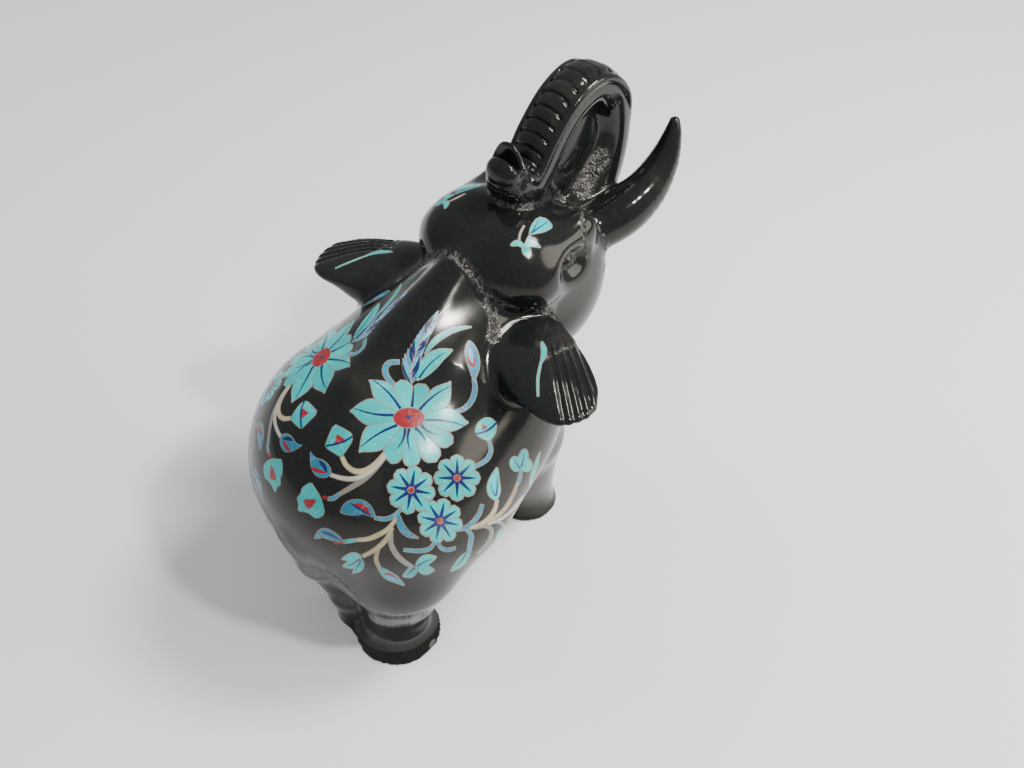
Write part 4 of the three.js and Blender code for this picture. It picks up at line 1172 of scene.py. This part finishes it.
def stone_materials(colours):
    """One material for each inlaid stone."""
    turquoise, coral, lapis = (tuple(c) for c in (colours.turquoise, colours.coral, colours.lapis))

    def lighter(colour, factor):
        return tuple(min(c * factor + 0.008, 1) for c in colour)

    def darker(colour, factor):
        return tuple(c * factor for c in colour)

    return {
        "turquoise": stone_material("turquoise_stone", darker(turquoise, 0.72),
                                    lighter(turquoise, 1.25), (0.4, 0.8, 0.78), 0.2),
        "lapis": stone_material("blue_stone", darker(lapis, 0.7), lighter(lapis, 1.7),
                                (0.6, 0.75, 0.8), 0.2),
        "sky": stone_material("pale_blue_stone", (0.08, 0.20, 0.50), (0.22, 0.42, 0.68),
                              (0.8, 0.85, 0.9), 0.2),
        "coral": stone_material("coral_stone", darker(coral, 0.7), lighter(coral, 1.3),
                                (0.75, 0.35, 0.3), 0.22),
        "navy": stone_material("dark_blue_stone", (0.003, 0.006, 0.05), (0.01, 0.02, 0.13),
                               (0.1, 0.15, 0.3), 0.2),
        "pearl": stone_material("shell", (0.30, 0.28, 0.24), (0.55, 0.53, 0.49),
                                (0.8, 0.78, 0.76), 0.16),
        "straw": stone_material("straw_stone", (0.28, 0.22, 0.09), (0.52, 0.45, 0.24),
                                (0.8, 0.75, 0.6), 0.22),
        "grey": stone_material("grey_stone", (0.15, 0.14, 0.12), (0.32, 0.30, 0.26),
                               (0.6, 0.58, 0.55), 0.22),
        "mastic": stone_material("mastic", (0.16, 0.14, 0.11), (0.30, 0.26, 0.20),
                                 (0.4, 0.35, 0.3), 0.4),
    }


# Slot names of the frame for the stones, with the turquoise one named for the stones that it has no
# slot for
SLOTS = {"lapis": "blue_stone", "sky": "blue_stone", "navy": "blue_stone",
         "coral": "coral_stone"}
OTHER_SLOT = "turquoise_stone"

# How far the tip of a pointed petal leans round the flower, in degrees, and the share of its
# reach at which each kind of petal begins to narrow
POINT_LEAN = 3.5
NARROWS = {"round": 0.62, "point": 0.55}


def petal_grid(angle, reach, kind, left, right, inner, grow, rows=12, columns=6):
    """A petal between two directions in degrees, from an inner radius out to its tip.
    It is grown on all sides by a step, or shrunk by a negative one."""
    grid = []
    bend = 0
    for t in np.linspace(0, 1, rows + 1) ** 0.8:
        s = np.clip((t - NARROWS[kind]) / (1 - NARROWS[kind]), 0, 1)
        if kind == "round":
            width = math.sqrt(max(1 - s * s, 0))
        else:
            width = (1 - s) ** 1.1 * (1 + 0.9 * s * (1 - s))
            bend = POINT_LEAN * s * s
        width = max(width, 0.03)
        row = []
        for share in np.linspace(0, 1, columns + 1):
            toward = left + (right - left) * share
            here = angle + (toward - angle) * width + bend
            start = inner(here) - grow
            radius = start + (reach + grow - start) * t
            side = grow * (2 * share - 1) * (0.4 + 0.6 * width) * (1 if right > left else -1)
            here += math.degrees(side / max(radius, 1e-3))
            turn = math.radians(here)
            row.append((math.cos(turn) * radius, -math.sin(turn) * radius))
        grid.append(row)
    return np.array(grid)


def oval(angle):
    """Radius of the heart of the flower in a direction."""
    turn = math.radians(angle)
    return 1 / math.hypot(math.cos(turn) / HEART[0], math.sin(turn) / HEART[1])


def tray_set():
    return {stone: Tray() for stone in STONES}


def spread_tone(number):
    """Tones between 0 and 1, set far apart for following numbers by the golden ratio."""
    return (number * 0.618034) % 1.0


def circle(middle, half_x, half_y, count):
    """Spots round an oval on the sheet."""
    return [np.array(middle) + np.array([half_x * math.cos(a), half_y * math.sin(a)])
            for a in np.linspace(0, 2 * math.pi, count, endpoint=False)]


def put(trays, stone, grid, sizes, closed=False, tone=0.0, around=None):
    """Adds a stone to its tray, and the mastic round it where there is any."""
    lift, sink = sizes.lift / MM, sizes.sink / MM
    trays[stone].plate(grid, lift * (1 + LEVELS[stone]), sink, closed, tone)
    if around is not None:
        trays["mastic"].plate(around, lift * MASTIC_HEIGHT, sink, closed, tone)


def draw_flower(trays, sizes):
    """The petals with their veins, and the heart in their middle."""
    middle = np.array(FLOWER, float)
    for i, (angle, reach, kind) in enumerate(PETALS):
        before, after = PETALS[i - 1][0], PETALS[(i + 1) % len(PETALS)][0]
        down = ((angle - before) % 360) / 2
        up = ((after - angle) % 360) / 2
        grid = petal_grid(angle, reach, kind, angle - down, angle + up, oval, -GAP)
        wide = petal_grid(angle, reach, kind, angle - down, angle + up, oval, sizes.joint)
        put(trays, "turquoise", middle + grid, sizes, tone=spread_tone(i + 1),
            around=middle + wide)
        turn = math.radians(angle)
        way = np.array([math.cos(turn), -math.sin(turn)])
        cross = np.array([-way[1], way[0]])
        start, end = oval(angle) + 0.6, reach * VEIN_REACH[kind]
        bend = VEIN_BEND if i % 2 else -VEIN_BEND
        line = [middle + way * (start + (end - start) * t) + cross * bend * math.sin(math.pi * t)
                for t in (0, 0.35, 0.7, 1)]
        if i not in UNDER_PLUME:
            put(trays, "navy", blade(line, VEIN, vein_shape, 10, 2), sizes, tone=0.4)
    line = middle + SHARED_VEIN
    put(trays, "navy", blade(line, VEIN, vein_shape, 8, 2), sizes, tone=0.4)
    put(trays, "coral", patch(circle(middle, *HEART, 20)), sizes, closed=True, tone=0.5)
    line = middle + HEART_VEIN
    put(trays, "pearl", blade(line, 2.0, stem_shape, 10, 2), sizes, tone=0.8)
    put(trays, "navy", patch(middle + HEART_BEAD), sizes, closed=True, tone=0.7)


def rosette_tree():
    """Geometry nodes that set petals round a hub."""
    tree = bpy.data.node_groups.new("petals_round_a_hub", "GeometryNodeTree")
    face = tree.interface
    face.new_socket("Geometry", in_out="INPUT", socket_type="NodeSocketGeometry")
    face.new_socket("Petal", in_out="INPUT", socket_type="NodeSocketObject")
    face.new_socket("Count", in_out="INPUT", socket_type="NodeSocketInt").default_value = 8
    face.new_socket("Scale", in_out="INPUT", socket_type="NodeSocketFloat").default_value = 1.0
    face.new_socket("Stone", in_out="INPUT", socket_type="NodeSocketMaterial")
    face.new_socket("Geometry", in_out="OUTPUT", socket_type="NodeSocketGeometry")
    n = Nodes(tree)
    start = n.add("NodeGroupInput")
    spots = n.add("GeometryNodePoints", {"Count": start.outputs["Count"]})
    number = n.add("GeometryNodeInputIndex")
    share = n.add("ShaderNodeMath", {0: number.outputs[0], 1: start.outputs["Count"]},
                  operation="DIVIDE")
    turn = n.add("ShaderNodeMath", {0: share.outputs[0], 1: 2 * math.pi}, operation="MULTIPLY")
    about = n.add("ShaderNodeCombineXYZ", {"Z": turn.outputs[0]})
    petal = n.add("GeometryNodeObjectInfo", {"Object": start.outputs["Petal"]})
    size = n.add("ShaderNodeCombineXYZ", {"X": start.outputs["Scale"],
                                          "Y": start.outputs["Scale"], "Z": 1.0})
    ring = n.add("GeometryNodeInstanceOnPoints", {
        "Points": spots.outputs[0], "Instance": petal.outputs["Geometry"],
        "Rotation": about.outputs[0], "Scale": size.outputs[0],
    })
    real = n.add("GeometryNodeRealizeInstances", {"Geometry": ring.outputs["Instances"]})
    stone = n.add("GeometryNodeSetMaterial", {
        "Geometry": real.outputs["Geometry"], "Material": start.outputs["Stone"]
    })
    end = n.add("NodeGroupOutput")
    tree.links.new(stone.outputs["Geometry"], end.inputs["Geometry"])
    return tree


def petal_ring(tree, grid, low, high, count, scale, material):
    """A flat ring of petals as a plain mesh, with heights over the skin as z."""
    tray = Tray()
    tray.plate(grid, high, -low)
    mesh = bpy.data.meshes.new("flat_petal")
    places = [(*spot, height) for spot, height in zip(tray.spots, tray.heights)]
    mesh.from_pydata(places, [], tray.faces)
    petal = bpy.data.objects.new("flat_petal", mesh)
    bpy.context.collection.objects.link(petal)
    host = bpy.data.objects.new("flat_ring", bpy.data.meshes.new("flat_ring"))
    bpy.context.collection.objects.link(host)
    made = host.modifiers.new("petals", "NODES")
    made.node_group = tree
    wanted = {"Petal": petal, "Count": count, "Scale": scale, "Stone": material}
    for item in tree.interface.items_tree:
        if item.item_type == "SOCKET" and item.in_out == "INPUT" and item.name in wanted:
            made[item.identifier] = wanted[item.name]
    bpy.context.view_layer.update()
    seen = host.evaluated_get(bpy.context.evaluated_depsgraph_get())
    ring = bpy.data.meshes.new_from_object(seen)
    host.modifiers.remove(made)
    for spare in (host, petal):
        bpy.data.objects.remove(spare)
    return ring


# The small flowers, drawn with a reach of one: their hub, their mastic and the gap of their petals
HUB = 0.15
ROSETTE_MASTIC = 0.035
ROSETTE_GAP = 0.018
# Radii of the round bed in the middle of a small flower and of the bead in it, on the sheet
HUB_RINGS = (("mastic", 4.0), ("coral", 3.0))


def draw_rosettes(trays, sizes, materials):
    """The small flowers, each a ring of petals, their mastic and their veins."""
    tree = rosette_tree()
    lift, sink = sizes.lift / MM, sizes.sink / MM
    half = 180 / sizes.petals
    grids = {
        "mastic": petal_grid(0, 1, "round", -half, half, lambda angle: HUB, ROSETTE_MASTIC),
        "turquoise": petal_grid(0, 1, "round", -half, half, lambda angle: HUB, -ROSETTE_GAP),
        "navy": rosette_vein(),
    }
    for middle, reach, turn in ROSETTES:
        for stone, grid in grids.items():
            high = lift * (MASTIC_HEIGHT if stone == "mastic" else 1 + LEVELS[stone])
            ring = petal_ring(tree, grid, -sink, high, sizes.petals, reach, materials[stone])
            trays[stone].mesh(ring, middle, math.radians(turn), spread_tone(reach))
            bpy.data.meshes.remove(ring)
        for stone, radius in HUB_RINGS:
            spot = patch(circle(middle, radius, radius, 10))
            put(trays, stone, spot, sizes, closed=True, tone=0.9)


def rosette_vein():
    """A tapering vein along a petal of reach one."""
    share = np.linspace(0, 1, 8)
    run = HUB + (0.86 - HUB) * share
    half = 0.085 * (1 - share) ** 0.7 + 0.004
    return np.stack([
        np.stack([run, -half], axis=1), np.stack([run, 0 * half], axis=1),
        np.stack([run, half], axis=1)
    ], axis=1)


# The plume above the flower: its quill, then the number, reach and width of its barbs
QUILL = [(411, 384), (412, 366), (419, 346), (431, 325), (449, 304)]
BARBS = 11
BARB_REACH = 21
BARB = 2.9
# How much shorter the last barb is, how far a barb leans out and how much less each next one
BARB_TAPER = 0.45
BARB_LEAN = 0.5
BARB_CLOSING = 0.016
# The bend of a barb: share of its length, and its lean there
BARB_BEND = ((0, 1), (0.5, 1.2), (1, 0.85))
BARB_STONES = ("navy", "lapis", "turquoise", "navy", "sky")


def draw_plume(trays, sizes):
    """Narrow barbs on both sides of a quill, shorter towards its tip."""
    quill = spline([(a, b, 0) for a, b in QUILL], BARBS + 3)[:, :2]
    for i in range(BARBS + 1):
        ahead = quill[i + 1] - quill[i]
        ahead /= np.linalg.norm(ahead)
        reach = BARB_REACH * (1 - BARB_TAPER * i / BARBS)
        for flip in (-1, 1):
            lean = BARB_LEAN - BARB_CLOSING * i
            out = np.array([-ahead[1], ahead[0]]) * flip
            line = [quill[i] + (ahead + out * lean * bow) * reach * t for t, bow in BARB_BEND]
            stone = BARB_STONES[(2 * i + (flip > 0)) % len(BARB_STONES)]
            grid = blade(line, BARB, leaf_shape, 8, 2)
            around = blade(line, BARB, leaf_shape, 8, 2, grow=0.6 * sizes.joint)
            put(trays, stone, grid, sizes, tone=spread_tone(i), around=around)
    put(trays, "pearl", blade(QUILL, 1.1, stem_shape, 14, 2), sizes, tone=0.5)


def draw_strokes(trays, sizes):
    """All the leaves, stems, veins and buds, with mastic round those that lie in the marble."""
    for i, (stone, kind, wide, line) in enumerate(STROKES):
        columns = 4 if wide > 5 else 2
        grid = blade(line, wide, SHAPES[kind], 12, columns)
        around = None
        if LEVELS[stone] <= BEDDED:
            around = blade(line, wide, SHAPES[kind], 12, columns, grow=sizes.joint)
        put(trays, stone, grid, sizes, tone=spread_tone(i), around=around)
    for i, (stone, outline) in enumerate(PATCHES):
        around = patch(outline, sizes.joint) if LEVELS[stone] <= BEDDED else None
        put(trays, stone, patch(outline), sizes, closed=True, tone=spread_tone(i),
            around=around)


# Plates of the frame that each stone takes the place of, on either flank
REPLACED = {
    "turquoise": ["flower_petals", "rosette_1", "rosette_2", "rosette_3", "bud_1", "bud_3",
                  "butterfly", "leaf_2", "head_leaf"],
    "coral": ["flower_heart"],
    "lapis": ["bud_2", "leaf_1"],
}


class LayFlowers(bpy.types.Operator):
    """Lay the flowers, leaves and stems into both flanks, the brow and the ears"""

    bl_idname = "elephant.lay_flowers"
    bl_label = "Lay the Flowers"

    def execute(self, context):
        sizes = context.scene.elephant_inlay
        materials = stone_materials(context.scene.elephant_colours)
        trays = tray_set()
        draw_flower(trays, sizes)
        draw_rosettes(trays, sizes, materials)
        draw_plume(trays, sizes)
        draw_strokes(trays, sizes)
        for side, word in ((-1, "right"), (1, "left")):
            for stone, tray in trays.items():
                piece = tray.lay_down(f"{word}_{stone}", side, materials[stone])
                replaced = [f"{word}_{node}" for node in REPLACED.get(stone, [])]
                dress(piece, SLOTS.get(stone, OTHER_SLOT), *replaced)
        return {"FINISHED"}


# Round lamps: place and size in metres, power, colour, and whether the stone mirrors them
LAMPS = {
    "top_window": ((0.42, -0.34, 0.98), 0.3, 11.0, (1.0, 0.98, 0.95), True),
    "right_wall": ((0.9, -1.1, 0.75), 0.9, 12.0, (1.0, 0.96, 0.90), True),
    "left_fill": ((-0.7, 1.2, 0.9), 0.9, 8.0, (0.92, 0.96, 1.0), False),
    "flank_glow": ((0.1, -0.68, 1.0), 0.1, 7.0, (1.0, 1.0, 0.98), True),
}
LIT_SPOT = (0, 0, 0.09)
FLOOR_REACH = 6.0


class SetStage(bpy.types.Operator):
    """Set the floor, the lights and the camera"""

    bl_idname = "elephant.set_stage"
    bl_label = "Set the Stage"

    def execute(self, context):
        stage = context.scene.elephant_stage
        material, n, shader = new_material("pale_floor")
        place = n.add("ShaderNodeTexCoord").outputs["Object"]
        wash = n.add("ShaderNodeTexNoise", {"Vector": place, "Scale": 3.0, "Detail": 2.0})
        colour = tuple(stage.floor)
        tone = ramp(n, wash.outputs["Fac"], [(0.3, tuple(c * 0.985 for c in colour)),
                                             (0.7, colour)])
        n.tree.links.new(tone, shader.inputs["Base Color"])
        shader.inputs["Roughness"].default_value = 0.7
        corners = FLOOR_REACH * np.array([[-1, -1, 0], [1, -1, 0], [1, 1, 0], [-1, 1, 0]])
        floor = new_piece("floor", corners, [[0, 1, 2, 3]], material, smooth_shade=False)

        world = bpy.data.worlds.new("soft_room")
        context.scene.world = world
        world.use_nodes = True
        back = world.node_tree.nodes["Background"]
        back.inputs["Color"].default_value = (0.93, 0.95, 1.0, 1)
        back.inputs["Strength"].default_value = 0.46
        for name, settings in LAMPS.items():
            self.light(name, *settings)

        view = bpy.data.cameras.new("photo_view")
        view.sensor_width = 36
        view.lens = stage.lens
        view.dof.use_dof = False
        camera = bpy.data.objects.new("photo_view", view)
        context.collection.objects.link(camera)
        camera.location = Vector(to_frame(EYE["place"]))
        turn, fall = math.radians(EYE["azimuth"]), math.radians(EYE["fall"])
        ahead = Vector((math.cos(turn) * math.cos(fall), math.sin(turn) * math.cos(fall),
                        -math.sin(fall)))
        camera.rotation_euler = ahead.to_track_quat("-Z", "Y").to_euler()
        context.scene.camera = camera
        return {"FINISHED"}

    def light(self, name, place, size, power, colour, mirrored):
        """A round lamp that looks at the statue."""
        lamp = bpy.data.lights.new(name, "AREA")
        lamp.shape = "DISK"
        lamp.size = size
        lamp.energy = power
        lamp.color = colour
        holder = bpy.data.objects.new(name, lamp)
        bpy.context.collection.objects.link(holder)
        holder.location = place
        holder.visible_glossy = mirrored
        aim = Vector(LIT_SPOT) - Vector(place)
        holder.rotation_euler = aim.to_track_quat("-Z", "Y").to_euler()


class ElephantPanel(bpy.types.Panel):
    """Sizes, colours and steps of the statue."""

    bl_label = "Marble Elephant"
    bl_idname = "VIEW3D_PT_marble_elephant"
    bl_space_type = "VIEW_3D"
    bl_region_type = "UI"
    bl_category = "Elephant"

    def draw(self, context):
        scene = context.scene
        for group, names in (
            (scene.elephant_carving, ("fine", "coarse")),
            (scene.elephant_inlay, ("lift", "sink", "joint", "petals")),
            (scene.elephant_colours, ("marble", "turquoise", "coral", "lapis")),
            (scene.elephant_stage, ("floor", "lens")),
        ):
            box = self.layout.box()
            for name in names:
                box.prop(group, name)
        for operator in (CarveBlock, LayFlowers, SetStage):
            self.layout.operator(operator.bl_idname)


GROUPS = {
    "elephant_carving": CarvingSizes,
    "elephant_inlay": InlaySizes,
    "elephant_colours": StoneColours,
    "elephant_stage": StageSettings,
}
CLASSES = (*GROUPS.values(), CarveBlock, LayFlowers, SetStage, ElephantPanel)


def register():
    for one in CLASSES:
        bpy.utils.register_class(one)
    for name, group in GROUPS.items():
        setattr(bpy.types.Scene, name, bpy.props.PointerProperty(type=group))


def unregister():
    for name in GROUPS:
        delattr(bpy.types.Scene, name)
    for one in reversed(CLASSES):
        bpy.utils.unregister_class(one)


def main():
    register()
    bpy.ops.elephant.set_stage()
    bpy.ops.elephant.carve_block()
    bpy.ops.elephant.lay_flowers()


if __name__ == "__main__":
    main()
